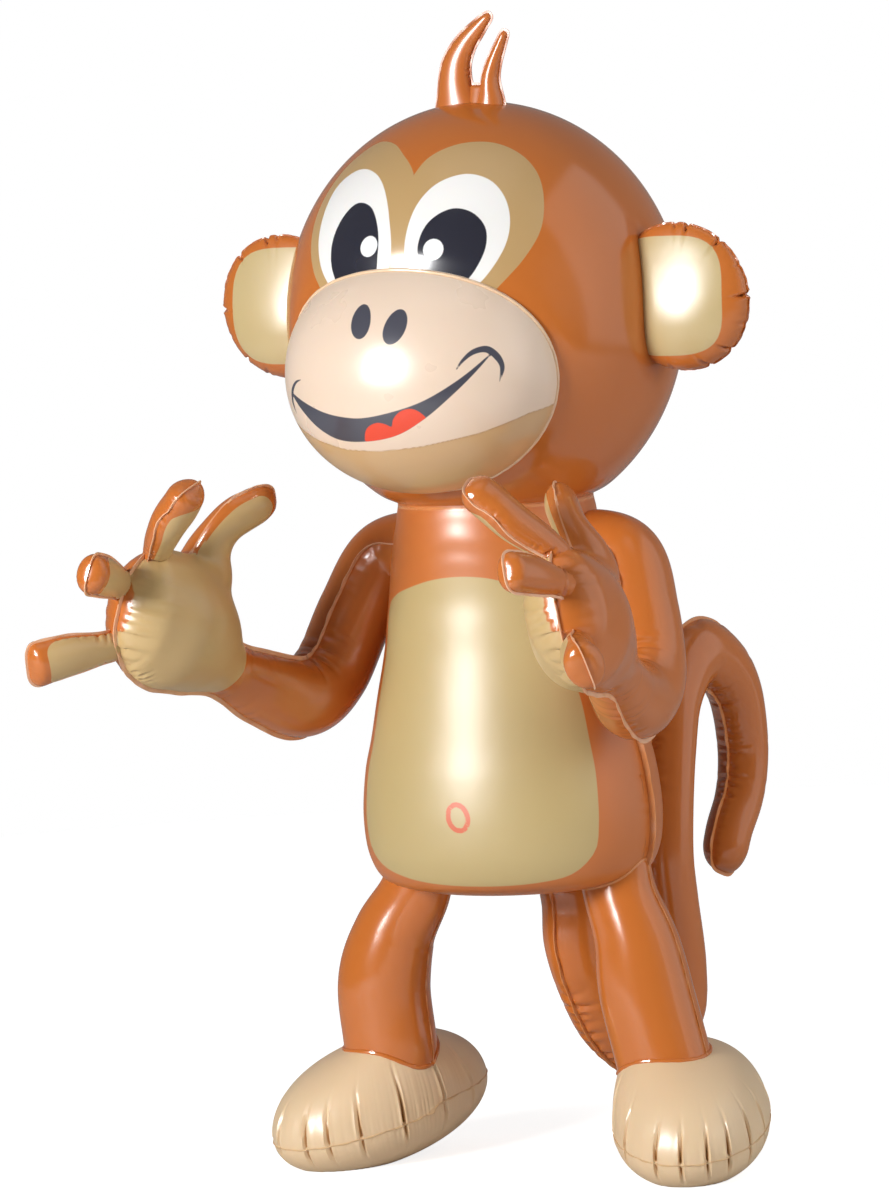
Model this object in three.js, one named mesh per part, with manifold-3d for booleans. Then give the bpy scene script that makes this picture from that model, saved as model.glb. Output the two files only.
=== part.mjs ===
// Inflatable monkey, blown up and standing on its own two feet.
// Millimetres, +Z up. It faces -Y, and its own left is +X.
// Every piece is a welded vinyl bladder, made as the solid that its air fills out.
// The origin is on the ground, in the middle of the figure's footprint.
import * as THREE from 'three';
import { mergeVertices } from 'three/addons/utils/BufferGeometryUtils.js';
import Module from 'manifold-3d';

const wasm = await Module();
wasm.setup();

// Clear space left between two pieces that are welded together
const seamGap = 0.3;

// Torso: a pear, flatter from front to back than it is wide
const legClearance = 155;
const torsoHeight = 218;
const torsoHalfWidth = 86;
const torsoDepthRatio = 0.87;
// Its section turns round from this share of its height up to the neck
const neckRoundsFrom = 0.83;
const neckRadius = 54;
const neckTop = legClearance + torsoHeight;
// The neck is drawn on into the head, and then cut back to the head's skin
const neckOverrun = 12;
const neckDome = 4;

// Head: one ball, a little taller than wide
const headHalfWidth = 110;
const headHalfDepth = 110;
const headHalfHeight = 118;
const neckRing = Math.sqrt(1 - (neckRadius / headHalfWidth) ** 2);
const headZ = neckTop + headHalfHeight * neckRing;

// Muzzle: a second ball welded to the front of the head
const muzzleHalfWidth = 80;
const muzzleHalfDepth = 64;
const muzzleHalfHeight = 68;
const muzzleReach = 27;
const muzzleDrop = 23;

// Ears: flat round pads on the sides of the head
const earRadius = 41;
const earHalfThickness = 16;
const earReach = 54;
const earLift = 8;
const earBack = -4;
const earTip = THREE.MathUtils.degToRad(6);

// Hair tuft: two flat spikes on the crown
const tuftHeight = 48;
const tuftHalfThickness = 9;
const tuftBack = -2;

// Legs and feet
const hipSpread = 64;
const hipSink = 22;
const leftKneeSpread = 77;
const rightKneeSpread = 88;
const ankleSpread = 86;
const ankleHeight = 61;
const hipHalfWidth = 21.5;
const kneeHalfWidth = 27;
const ankleHalfWidth = 27.5;
const legDepthRatio = 0.9;
const footHalfLength = 73;
const footHalfWidth = 46;
const footHeight = 65;
const footSeamShare = 0.435;
const footTopShare = 0.72;
const footSpread = 98;
const footBack = 7;
const footSplay = THREE.MathUtils.degToRad(22);
const footTilt = THREE.MathUtils.degToRad(11);

// Arms: the pose is given in shares of the straight arm's length
const armLength = 300;
const shoulderDrop = 32;
const shoulderInset = 15.5;
const upperArmHalfWidth = 23;
const armDepthRatio = 0.92;
const wristHalfWidth = 17.5;
const palmHalfWidth = 38.5;
const palmHalfThickness = 27;
const digitDepthRatio = 0.75;

// Tail: a tube that drops from the seat, rises behind the back and ends in a hook
const tailRootBack = 46;
const tailRootSink = 8;
const tailRootRadius = 19;
// The two sheets are cut wider at the top of the bend
const tailBendHalfWidth = 19.5;
const tailTipRadius = 14;
const tailHeight = 271;
const tailTurn = THREE.MathUtils.degToRad(10);

// Finishes
function vinyl(colour, roughness) {
  return new THREE.MeshStandardMaterial({ color: colour, roughness, metalness: 0 });
}
const orange = vinyl(0xc2713a, 0.2);
const peach = vinyl(0xefd3b4, 0.3);
const cream = vinyl(0xdcb88c, 0.3);

// A geometry's closed surface as a solid, and a solid's surface as a geometry
function solidOf(geometry) {
  const bare = geometry.clone();
  bare.deleteAttribute('normal');
  bare.deleteAttribute('uv');
  const merged = mergeVertices(bare, 1e-4);
  return new wasm.Manifold(new wasm.Mesh({
    numProp: 3,
    vertProperties: merged.getAttribute('position').array,
    triVerts: merged.getIndex().array,
  }));
}

function geometryOf(solid) {
  const mesh = solid.getMesh();
  const geometry = new THREE.BufferGeometry();
  geometry.setAttribute('position', new THREE.BufferAttribute(mesh.vertProperties, 3));
  geometry.setIndex(new THREE.BufferAttribute(mesh.triVerts, 1));
  geometry.computeVertexNormals();
  return geometry;
}

// The same form, larger by the seam's clear space all over
function swollen(geometry, gap = seamGap) {
  const bare = geometry.clone();
  bare.deleteAttribute('normal');
  bare.deleteAttribute('uv');
  const grown = mergeVertices(bare, 1e-4);
  grown.computeVertexNormals();
  const position = grown.getAttribute('position');
  const normal = grown.getAttribute('normal');
  const point = new THREE.Vector3();
  const out = new THREE.Vector3();
  for (let i = 0; i < position.count; i += 1) {
    out.fromBufferAttribute(normal, i);
    point.fromBufferAttribute(position, i).addScaledVector(out, gap);
    position.setXYZ(i, point.x, point.y, point.z);
  }
  return grown;
}

// A piece cut back to the skin of the pieces that it is welded to
function weldedTo(geometry, ...neighbours) {
  let solid = solidOf(geometry);
  for (const neighbour of neighbours) {
    solid = solid.subtract(solidOf(swollen(neighbour)));
  }
  return geometryOf(solid);
}

function joined(...geometries) {
  return geometryOf(geometries.map(solidOf).reduce((whole, next) => whole.add(next)));
}

// The other side's copy of a piece: X turned about, and each face turned with it
function mirrored(geometry) {
  const copy = geometry.clone();
  copy.scale(-1, 1, 1);
  const index = copy.getIndex();
  for (let i = 0; i < index.count; i += 3) {
    const second = index.getX(i + 1);
    index.setX(i + 1, index.getX(i + 2));
    index.setX(i + 2, second);
  }
  copy.computeVertexNormals();
  return copy;
}

// A ball with its poles up and down
function ball(halfWidth, halfDepth, halfHeight, around, tall) {
  const geometry = new THREE.SphereGeometry(1, around, tall);
  geometry.rotateX(Math.PI / 2);
  geometry.scale(halfWidth, halfDepth, halfHeight);
  return geometry;
}

// A closed tube of air along a curve. Each station is [share, half width, half thickness],
// and the thickness lies along `facing`. A flat end keeps its width where its two sheets meet.
function sleeve(points, stations, facing, { around = 14, along = 20, capRows = 3, cap = 0.1 } = {}) {
  const spine = new THREE.CatmullRomCurve3(points, false, 'centripetal');
  const sizes = new THREE.CubicInterpolant(
    stations.map(([share]) => share),
    stations.flatMap(([, width, thickness]) => [width, thickness]),
    2,
  );
  const geometry = new THREE.SphereGeometry(1, around, along);
  const position = geometry.getAttribute('position');
  const front = facing.clone().normalize();
  for (let row = 0; row <= along; row += 1) {
    const fromEnd = Math.min(row, along - row);
    const turn = Math.min(fromEnd / capRows, 1) * Math.PI / 2;
    const body = (Math.max(fromEnd - capRows, 0) / (along - 2 * capRows)) * (1 - 2 * cap);
    const near = fromEnd < capRows ? cap * (1 - Math.cos(turn)) : cap + body;
    const share = row <= along / 2 ? near : 1 - near;
    const centre = spine.getPointAt(share);
    const ahead = spine.getTangentAt(share);
    const side = new THREE.Vector3().crossVectors(front, ahead).normalize();
    const outward = new THREE.Vector3().crossVectors(ahead, side).normalize();
    const [width, thickness] = sizes.evaluate(share);
    const round = Math.sin(turn);
    for (let column = 0; column <= around; column += 1) {
      const angle = (column % around) / around * Math.PI * 2;
      const point = centre.clone()
        .addScaledVector(side, Math.cos(angle) * width * Math.sqrt(round) * (fromEnd > 0 ? 1 : 0))
        .addScaledVector(outward, -Math.sin(angle) * thickness * round);
      position.setXYZ(row * (around + 1) + column, point.x, point.y, point.z);
    }
  }
  return geometry;
}

// A pad of two welded sheets: its rim lies in the XY plane at `rim` from the centre,
// drawn in at each pucker, and it swells by `above` and `below` that plane. A fullness
// over 2 carries the swell further out to the rim.
function pad(rim, above, below, puckers, { around = 36, tall = 8, fullness = 2 } = {}) {
  const geometry = new THREE.SphereGeometry(1, around, tall);
  geometry.rotateX(Math.PI / 2);
  const position = geometry.getAttribute('position');
  const point = new THREE.Vector3();
  for (let i = 0; i < position.count; i += 1) {
    point.fromBufferAttribute(position, i);
    const angle = Math.atan2(point.y, point.x);
    const reach = Math.hypot(point.x, point.y);
    const drawn = 1 - puckers(angle) * reach ** 4;
    const radius = rim(angle) * reach * drawn;
    const swell = Math.sign(point.z) * Math.sqrt(Math.max(1 - reach ** fullness, 0));
    const height = (point.z > 0 ? above : below) * swell * drawn;
    position.setXYZ(i, Math.cos(angle) * radius, Math.sin(angle) * radius, height);
  }
  return geometry;
}

// Pucker depth round a rim: every other vertex is drawn in, where the rim bends most
function puckered(depth, count, middle, spread) {
  return (angle) => {
    const away = Math.abs(Math.atan2(Math.sin(angle - middle), Math.cos(angle - middle)));
    return away > spread ? 0 : depth * (0.5 + 0.5 * Math.cos(angle * count));
  };
}

// Torso
const torsoProfile = [
  [0, 0.008], [0.4, 0.012], [0.7, 0.022], [0.89, 0.05], [0.97, 0.104], [1, 0.2], [0.97, 0.325],
  [0.92, 0.407], [0.865, 0.511], [0.8, 0.628], [0.765, 0.724], [0.72, 0.83],
];
const torsoLine = torsoProfile.map(
  ([share, up]) => new THREE.Vector2(share * torsoHalfWidth, legClearance + up * torsoHeight),
);
const chest = torsoProfile.at(-1)[0] * torsoHalfWidth;
torsoLine.push(new THREE.Vector2((neckRadius + chest) / 2, neckTop - 0.09 * torsoHeight));
torsoLine.push(new THREE.Vector2(neckRadius, neckTop));
torsoLine.push(new THREE.Vector2(neckRadius, neckTop + neckOverrun));
torsoLine.push(new THREE.Vector2(0, neckTop + neckOverrun + neckDome));
const torsoGeometry = new THREE.LatheGeometry(torsoLine, 26);
torsoGeometry.rotateX(Math.PI / 2);
const torsoPosition = torsoGeometry.getAttribute('position');
for (let i = 0; i < torsoPosition.count; i += 1) {
  const rise = (torsoPosition.getZ(i) - legClearance) / torsoHeight;
  const toNeck = THREE.MathUtils.smoothstep(rise, neckRoundsFrom, 1);
  const ratio = THREE.MathUtils.lerp(torsoDepthRatio, 1, toNeck);
  torsoPosition.setY(i, torsoPosition.getY(i) * ratio);
}

// Head, muzzle, ears
const headGeometry = ball(headHalfWidth, headHalfDepth, headHalfHeight, 30, 18);
headGeometry.translate(0, 0, headZ);

const muzzleGeometry = ball(muzzleHalfWidth, muzzleHalfDepth, muzzleHalfHeight, 26, 14);
const muzzleY = -(headHalfDepth + muzzleReach - muzzleHalfDepth);
muzzleGeometry.translate(0, muzzleY, headZ - muzzleDrop);

const earGeometry = pad(
  () => earRadius,
  earHalfThickness,
  earHalfThickness,
  puckered(0.035, 18, 0, 1.7),
);
earGeometry.rotateX(Math.PI / 2 + earTip);
earGeometry.translate(headHalfWidth + earReach - earRadius, earBack, headZ + earLift);

// Hair tuft: spikes with their flat sides to the front, standing in the crown.
// Their lines and half widths are shares of the tuft's height.
const crownZ = headZ + headHalfHeight;
const front = new THREE.Vector3(0, -1, 0);
function spike(line, widths) {
  const points = line.map(([x, up]) => new THREE.Vector3(x * tuftHeight, tuftBack, crownZ + up * tuftHeight));
  const last = widths.length - 1;
  const stations = widths.map((width, i) => {
    const share = i / last;
    return [share, width * tuftHeight, tuftHalfThickness * (1 - 0.75 * share)];
  });
  return sleeve(points, stations, front, { around: 8, along: 11, cap: 0.05 });
}
const tuftGeometry = joined(
  spike(
    [[-0.15, -0.3], [-0.19, 0.02], [-0.2, 0.28], [-0.16, 0.47], [-0.04, 0.67], [0.135, 0.85], [0.29, 0.99]],
    [0.4, 0.29, 0.22, 0.18, 0.135, 0.095, 0.05],
  ),
  spike(
    [[0.21, -0.3], [0.25, 0.02], [0.26, 0.27], [0.32, 0.46], [0.4, 0.63], [0.48, 0.79]],
    [0.25, 0.19, 0.125, 0.095, 0.07, 0.045],
  ),
);

// Legs and feet, in the figure's left
const soleSide = footHeight * footTopShare;
const shin = legClearance - ankleHeight;
const kneeHeight = ankleHeight + shin * 0.42;
function legOf(kneeSpread) {
  return sleeve(
    [
      [hipSpread * 0.95, legClearance + hipSink],
      [hipSpread, legClearance],
      [hipSpread * 0.35 + kneeSpread * 0.65, kneeHeight + shin * 0.3],
      [kneeSpread, kneeHeight],
      [ankleSpread, ankleHeight],
      [ankleSpread + 2, soleSide],
    ].map(([x, z]) => new THREE.Vector3(x, 0, z)),
    [
      [0, hipHalfWidth, hipHalfWidth * legDepthRatio],
      [0.2, hipHalfWidth, hipHalfWidth * legDepthRatio],
      [0.55, kneeHalfWidth, kneeHalfWidth * legDepthRatio],
      [0.8, ankleHalfWidth, ankleHalfWidth * legDepthRatio],
      [1, ankleHalfWidth, ankleHalfWidth * legDepthRatio],
    ],
    front,
    { around: 16, along: 14, cap: 0.06 },
  );
}
const leftLeg = legOf(leftKneeSpread);
const rightLeg = legOf(rightKneeSpread);

// The foot's rim tips down to the toes, and its underside is flat where it bears on the ground
const seamHeight = footHeight * footSeamShare;
function footGeometryOf() {
  const geometry = pad(
    (angle) => {
      const toeward = Math.cos(angle) * 0.5 + 0.5;
      const width = footHalfWidth * (0.92 + 0.08 * toeward);
      return 1 / Math.hypot(Math.cos(angle) / footHalfLength, Math.sin(angle) / width);
    },
    footHeight - seamHeight,
    seamHeight,
    puckered(0.05, 18, 0, 1.75),
    { around: 36, tall: 8, fullness: 2.5 },
  );
  geometry.rotateY(footTilt);
  geometry.rotateZ(-Math.PI / 2);
  geometry.translate(0, 0, seamHeight);
  const position = geometry.getAttribute('position');
  for (let i = 0; i < position.count; i += 1) {
    position.setZ(i, Math.max(position.getZ(i), 0));
  }
  geometry.rotateZ(footSplay);
  geometry.translate(footSpread, footBack, 0);
  return geometry;
}
const footGeometry = footGeometryOf();

// Left arm. Points are shares of the arm's length from the shoulder: out, back, up.
const palmFacing = new THREE.Vector3(-0.97, -0.115, -0.21);
function armPoints(...shares) {
  return shares.map(([out, back, up]) => new THREE.Vector3(
    torsoHalfWidth - shoulderInset + out * armLength,
    back * armLength,
    neckTop - shoulderDrop + up * armLength,
  ));
}
const forearm = sleeve(
  armPoints(
    [-0.1, 0.02, 0.02], [0.01, 0.02, 0], [0.06, -0.02, -0.095], [0.095, -0.075, -0.205],
    [0.11, -0.15, -0.242], [0.135, -0.25, -0.214], [0.162, -0.342, -0.166], [0.176, -0.474, -0.073],
    [0.194, -0.566, -0.033], [0.206, -0.627, -0.019],
  ),
  [
    [0, upperArmHalfWidth, upperArmHalfWidth * armDepthRatio],
    [0.14, upperArmHalfWidth, upperArmHalfWidth * armDepthRatio],
    [0.3, upperArmHalfWidth, upperArmHalfWidth * armDepthRatio],
    [0.45, upperArmHalfWidth, upperArmHalfWidth * armDepthRatio],
    [0.58, wristHalfWidth * 1.12, wristHalfWidth],
    [0.68, wristHalfWidth, wristHalfWidth * 0.9],
    [0.76, palmHalfWidth * 0.79, palmHalfThickness * 0.83],
    [0.85, palmHalfWidth, palmHalfThickness],
    [0.92, palmHalfWidth * 0.94, palmHalfThickness * 0.85],
    [1, palmHalfWidth * 0.65, palmHalfThickness * 0.6],
  ],
  palmFacing,
  { around: 14, along: 26, cap: 0.07 },
);
function digit(shares, halfWidths) {
  const last = halfWidths.length - 1;
  const stations = halfWidths.map((width, i) => [i / last, width, width * digitDepthRatio]);
  return sleeve(
    armPoints(...shares),
    stations,
    palmFacing,
    { around: 8, along: 8, cap: 0.1, capRows: 2 },
  );
}
const digits = [
  // Thumb
  digit([[0.168, -0.401, -0.036], [0.141, -0.407, 0.054], [0.113, -0.39, 0.105],
    [0.085, -0.352, 0.13], [0.06, -0.306, 0.146]],
    [16, 18, 13.5, 12, 10]),
  // First finger
  digit([[0.197, -0.516, 0.002], [0.176, -0.544, 0.06], [0.114, -0.599, 0.126],
    [0.076, -0.613, 0.164], [0.045, -0.63, 0.195]],
    [10, 9, 11.5, 13, 12]),
  // Second finger
  digit([[0.213, -0.541, -0.015], [0.212, -0.598, 0.013], [0.197, -0.694, 0.043],
    [0.184, -0.768, 0.057]],
    [9, 8, 11, 11.5]),
  // Little finger
  digit([[0.225, -0.557, -0.083], [0.246, -0.631, -0.093], [0.287, -0.707, -0.1],
    [0.328, -0.757, -0.112]],
    [9.5, 9, 12, 14]),
];
const armGeometry = joined(forearm, ...digits);

// Tail, drawn in the upright plane that holds it: out from the axis and up. It starts inside
// the torso's underside, and goes on in shares of its own height.
const tailLine = [
  [0.188, 0.521], [0.188, 0.439], [0.229, 0.336], [0.295, 0.243], [0.425, 0.173], [0.52, 0.24],
  [0.535, 0.332], [0.52, 0.48], [0.513, 0.564], [0.523, 0.679], [0.543, 0.8], [0.568, 0.897],
  [0.622, 0.966], [0.676, 0.986], [0.745, 0.951], [0.792, 0.888], [0.812, 0.779], [0.805, 0.705],
  [0.786, 0.653], [0.746, 0.591], [0.712, 0.509],
].map(([out, up]) => [out * tailHeight, up * tailHeight]);
tailLine.unshift([tailRootBack, legClearance + tailRootSink]);
const tailGeometry = sleeve(
  tailLine.map(([out, up]) => new THREE.Vector3(Math.sin(tailTurn) * out, Math.cos(tailTurn) * out, up)),
  [
    [0, tailRootRadius, tailRootRadius * 0.95],
    [0.3, tailRootRadius * 0.95, tailRootRadius * 0.9],
    [0.6, (tailRootRadius + tailTipRadius) / 2, (tailRootRadius + tailTipRadius) / 2],
    [0.72, tailBendHalfWidth, tailTipRadius * 1.15],
    [0.84, tailTipRadius * 1.1, tailTipRadius * 1.08],
    [1, tailTipRadius, tailTipRadius * 0.9],
  ],
  new THREE.Vector3(Math.cos(tailTurn), -Math.sin(tailTurn), 0),
  { around: 12, along: 36, cap: 0.03 },
);

// Each neighbour is cut back to the piece that it is welded to
const pieces = [
  ['head', headGeometry, orange],
  ['muzzle', weldedTo(muzzleGeometry, headGeometry), peach],
  ['left_ear', weldedTo(earGeometry, headGeometry), orange],
  ['right_ear', weldedTo(mirrored(earGeometry), headGeometry), orange],
  ['hair_tuft', weldedTo(tuftGeometry, headGeometry), orange],
  ['torso', weldedTo(torsoGeometry, headGeometry), orange],
  ['left_arm', weldedTo(armGeometry, torsoGeometry), orange],
  ['right_arm', weldedTo(mirrored(armGeometry), torsoGeometry), orange],
  ['left_leg', weldedTo(leftLeg, torsoGeometry), orange],
  ['right_leg', mirrored(weldedTo(rightLeg, torsoGeometry)), orange],
  ['left_foot', weldedTo(footGeometry, leftLeg), cream],
  ['right_foot', mirrored(weldedTo(footGeometry, rightLeg)), cream],
  ['tail', weldedTo(tailGeometry, torsoGeometry), orange],
];

const figure = new THREE.Group();
for (const [name, geometry, material] of pieces) {
  const mesh = new THREE.Mesh(geometry, material);
  mesh.name = name;
  figure.add(mesh);
}

// The footprint's middle goes to the origin
const bounds = new THREE.Box3().setFromObject(figure);
const middle = bounds.getCenter(new THREE.Vector3());
figure.position.set(-middle.x, -middle.y, -bounds.min.z);
const monkey = new THREE.Group();
monkey.add(figure);

export default monkey;
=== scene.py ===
# %% [markdown]
# # An inflatable monkey
#
# A beach toy of soft PVC: thirteen bags of coloured film, welded flat at their edges, printed, and
# blown up until they are tight. Three things make such a toy look real. The weld leaves a thin
# fin where two sheets meet. The film is too long for its own edge wherever the edge bends, so it
# gathers into small creases that run away from the weld. And the film is glossy, while the ink on
# it is duller. This lesson builds the bags from curves, presses the creases into the mesh, and
# draws the prints as distances from an outline, so that their edges stay sharp at any zoom.

# %% Load the frame
import math

import bpy
import numpy as np
from mathutils import Matrix, Vector
from mathutils.bvhtree import BVHTree
from mathutils.kdtree import KDTree


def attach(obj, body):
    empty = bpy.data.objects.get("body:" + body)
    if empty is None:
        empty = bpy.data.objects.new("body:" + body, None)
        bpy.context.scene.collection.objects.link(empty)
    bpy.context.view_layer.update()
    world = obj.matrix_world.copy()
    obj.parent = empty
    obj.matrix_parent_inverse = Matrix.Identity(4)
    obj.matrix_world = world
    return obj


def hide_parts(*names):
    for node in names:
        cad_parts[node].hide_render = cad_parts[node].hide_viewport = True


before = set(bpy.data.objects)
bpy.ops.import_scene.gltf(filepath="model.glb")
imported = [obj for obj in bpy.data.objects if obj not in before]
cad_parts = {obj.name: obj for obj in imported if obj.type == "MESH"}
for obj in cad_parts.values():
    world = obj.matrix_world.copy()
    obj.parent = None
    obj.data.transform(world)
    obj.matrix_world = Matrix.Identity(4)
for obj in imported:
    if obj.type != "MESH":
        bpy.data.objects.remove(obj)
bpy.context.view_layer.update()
MM = 0.001
rng = np.random.default_rng(7)
print("frame loaded:", len(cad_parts), "bags")

# %% [markdown]
# ## Colours and film
#
# Colours are written as they look on a screen, in sRGB hex, and one function turns them to the
# linear values that a renderer adds up. One more function puts a node in a material: its settings
# go on the node or on its sockets, and its links bring other nodes' outputs in.

# %% Colours and nodes
def linear(code):
    """An sRGB hex colour as linear red, green, blue and alpha."""
    levels = [int(code[i:i + 2], 16) / 255 for i in (1, 3, 5)]
    return [v / 12.92 if v <= 0.04045 else ((v + 0.055) / 1.055) ** 2.4 for v in levels] + [1.0]


def add(tree, kind, settings=None, links=None):
    """A node of this kind with its settings and its incoming links."""
    node = tree.nodes.new(kind)
    for key, value in (settings or {}).items():
        if isinstance(key, str) and hasattr(node, key):
            setattr(node, key, value)
        else:
            node.inputs[key].default_value = value
    for key, source in (links or {}).items():
        tree.links.new(source, node.inputs[key])
    return node


# %% [markdown]
# PVC film has an index of refraction near 1.53 and a roughness near 0.15 to 0.2: lamps show in it
# as clear shapes with slightly soft edges. A bag mirrors them twice, on the outside and on the
# inside of the film, so the specular level is nearly double the usual one. The colour is in the
# film, and a little light travels in it and in the air behind, which warms the shaded side, so the
# shader has some subsurface. The ink lies on top with its own colour and roughness. Wide printed
# areas are duller, near 0.3 to 0.45, which spreads each reflection into a wide glow. Every print
# reaches the material as a number on the mesh: how many millimetres a point lies inside the
# print's outline.
# The deep creases of the ears and feet get painted shade, and the lighter fins a painted highlight, in the
# same way.

# %% Vinyl with printed ink
EDGE = 0.22  # half the width in mm over which an ink edge fades
CLOUD = 35.71  # mm across a patch of thicker film
RIPPLE = 16.667  # mm across a waver in the taut film
THICK_FILM = 0.72  # the brightness of film at its thickest


def vinyl(name, film, prints=(), roughness=0.15):
    """Coloured PVC film. Each print is (attribute, colour, roughness), later ones on top. Besides ink,
    they include painted shade in creases and a painted highlight on lighter fins.
    """
    material = bpy.data.materials.new(name)
    material.use_nodes = True
    tree = material.node_tree
    tree.nodes.clear()
    place = add(tree, "ShaderNodeTexCoord")
    # Rolled film varies a little in thickness, over a few centimetres
    cloud = add(tree, "ShaderNodeTexNoise", {"Scale": 1 / (CLOUD * MM), "Detail": 3.0},
                {"Vector": place.outputs["Object"]})
    tone = add(tree, "ShaderNodeMapRange", {"To Min": 0.0, "To Max": 0.1},
               {"Value": cloud.outputs["Fac"]})
    colour = add(tree, "ShaderNodeMix",
                 {"data_type": "RGBA", 6: linear(film), 7: [c * THICK_FILM for c in linear(film)]},
                 {0: tone.outputs[0]}).outputs[2]
    gloss = add(tree, "ShaderNodeMapRange", {"To Min": roughness - 0.02, "To Max": roughness + 0.04},
                {"Value": cloud.outputs["Fac"]}).outputs[0]
    for attribute, ink, ink_roughness in prints:
        inside = add(tree, "ShaderNodeAttribute", {"attribute_name": attribute})
        share = add(tree, "ShaderNodeMapRange", {"From Min": -EDGE, "From Max": EDGE},
                    {"Value": inside.outputs["Fac"]}).outputs[0]
        colour = add(tree, "ShaderNodeMix", {"data_type": "RGBA", 7: linear(ink)},
                     {0: share, 6: colour}).outputs[2]
        gloss = add(tree, "ShaderNodeMix", {3: ink_roughness}, {0: share, 2: gloss}).outputs[0]
    # Taut film still wavers: a slow ripple of a few hundredths of a millimetre bends reflections
    ripple = add(tree, "ShaderNodeTexNoise", {"Scale": 1 / (RIPPLE * MM), "Detail": 1.0},
                 {"Vector": place.outputs["Object"]})
    bump = add(tree, "ShaderNodeBump", {"Strength": 0.35, "Distance": 0.0004},
               {"Height": ripple.outputs["Fac"]})
    skin = add(tree, "ShaderNodeBsdfPrincipled",
               {"IOR": 1.53, "Specular IOR Level": 0.9, "Subsurface Weight": 0.06,
                "Subsurface Radius": (1.0, 0.4, 0.15), "Subsurface Scale": 6 * MM},
               {"Base Color": colour, "Roughness": gloss, "Normal": bump.outputs["Normal"]})
    add(tree, "ShaderNodeOutputMaterial", {}, {"Surface": skin.outputs[0]})
    return material


ORANGE = "#c8702e"
KHAKI = "#bfa873"
# This fin colour is lighter than the film: a painted highlight along the welds and their beads.
LIT_FIN = "#d88e57"
hair_film = vinyl("orange PVC film, satin", ORANGE, [("fin", "#b9662c", 0.35)], roughness=0.3)
orange_film = vinyl("orange PVC film, glossy", ORANGE, [("fin", LIT_FIN, 0.2)])
head_film = vinyl("orange PVC film, printed face", ORANGE, [
    ("mask", "#c19e6b", 0.3), ("eye_white", "#f7f5f2", 0.22), ("pupil", "#2b2b36", 0.2),
    ("glint", "#fbfbfb", 0.22)])
muzzle_film = vinyl("peach PVC film, printed mouth", "#ecd4be", [
    ("lower", "#d2ac7e", 0.24), ("panel_seam", "#b98f5f", 0.3), ("ink", "#4a4a55", 0.25),
    ("tongue", "#e8411c", 0.25), ("fin", "#ecc9a6", 0.25)], roughness=0.27)
body_film = vinyl("orange PVC film, printed belly", ORANGE, [
    ("belly", KHAKI, 0.43), ("navel", "#d0561c", 0.45), ("weld_edge", "#a3561f", 0.3),
    ("fin", LIT_FIN, 0.2)], roughness=0.36)
# The pale fin colour of the arms is a painted highlight along their welds.
limb_film = vinyl("orange PVC film, printed palm", ORANGE, [
    ("palm", "#c9aa74", 0.34), ("fin", "#efb992", 0.25)], roughness=0.2)
# The ear's dark crease colour is painted shade in its deep creases.
ear_film = vinyl("orange PVC film, printed ear", ORANGE, [
    ("ear_print", "#c8b281", 0.3), ("crease_shade", "#8f4a1d", 0.3), ("fin", "#b8652f", 0.25)],
                 roughness=0.22)
# The foot's crease colour is painted shade in the deep creases at its toes.
foot_film = vinyl("cream PVC film, satin", "#e6c9a2", [
    ("crease_shade", "#b98b58", 0.4), ("fin", "#d6b285", 0.35)], roughness=0.37)
print("films made:", len(bpy.data.materials))

# %% [markdown]
# ## Curves, sections and skins
#
# A limb is a row of cross sections along a curve. The curve passes through a few points that were
# measured on the toy, and the sizes pass through a few stations in the same way.

# %% Smooth curves
def curve(points, shares, closed=False):
    """Points at shares of the length of a smooth curve through `points`, and that length."""
    p = np.array(points, float)
    before, after = (p[-1:], p[:2]) if closed else (2 * p[:1] - p[1:2], 2 * p[-1:] - p[-2:-1])
    p = np.vstack([before, p, after])
    knots = np.sqrt(np.linalg.norm(np.diff(p, axis=0), axis=1))
    t = np.linspace(0, 1, 150, endpoint=False)[:, None]
    pieces = []
    for i in range(1, len(p) - 2):
        a, b, c = knots[i - 1:i + 2]
        gap = p[i + 1] - p[i]
        leave = ((p[i] - p[i - 1]) / a - (p[i + 1] - p[i - 1]) / (a + b)) * b + gap
        arrive = gap - ((p[i + 2] - p[i]) / (b + c) - (p[i + 2] - p[i + 1]) / c) * b
        bend = 3 * gap - 2 * leave - arrive
        pieces.append(p[i] + leave * t + bend * t ** 2 + (leave + arrive - 2 * gap) * t ** 3)
    line = np.vstack(pieces + [p[-2:-1]])
    run = np.concatenate([[0], np.cumsum(np.linalg.norm(np.diff(line, axis=0), axis=1))])
    at = np.asarray(shares) * run[-1]
    return np.column_stack([np.interp(at, run, line[:, k]) for k in range(line.shape[1])]), run[-1]


def stations(table, at):
    """Sizes at shares `at`, smooth through the rows [share, size, size ...] of the table."""
    table = np.array(table, float)
    x, y = table[:, 0], table[:, 1:]
    slope = np.gradient(y, x, axis=0)
    i = np.clip(np.searchsorted(x, at, side="right") - 1, 0, len(x) - 2)
    width = (x[i + 1] - x[i])[:, None]
    t = (np.asarray(at)[:, None] - x[i][:, None]) / width
    ahead, back = t * t * (3 - 2 * t), (t - 1) ** 2
    return (y[i] * (1 - ahead) + y[i + 1] * ahead
            + slope[i] * width * t * back + slope[i + 1] * width * t * t * (t - 1))


# %% [markdown]
# A skin is a grid of points whose rows close on themselves and whose first and last row shrink to
# one point. Merging the doubled points closes it, so it can be cut and joined like a solid.

# %% Skins and cuts
SHARP_EDGE = math.radians(35)
SAME_POINT = 0.02  # mm


def from_points(name, points, faces):
    """A mesh object from points in mm and the faces between them."""
    mesh = bpy.data.meshes.new(name)
    mesh.from_pydata((points.reshape(-1, 3) * MM).tolist(), [], faces.tolist())
    obj = bpy.data.objects.new(name, mesh)
    bpy.context.scene.collection.objects.link(obj)
    return obj


def shaded(obj):
    """Smooth shading, with hard edges left hard."""
    obj.data.polygons.foreach_set("use_smooth", [True] * len(obj.data.polygons))
    obj.data.set_sharp_from_angle(angle=SHARP_EDGE)
    return obj


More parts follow.
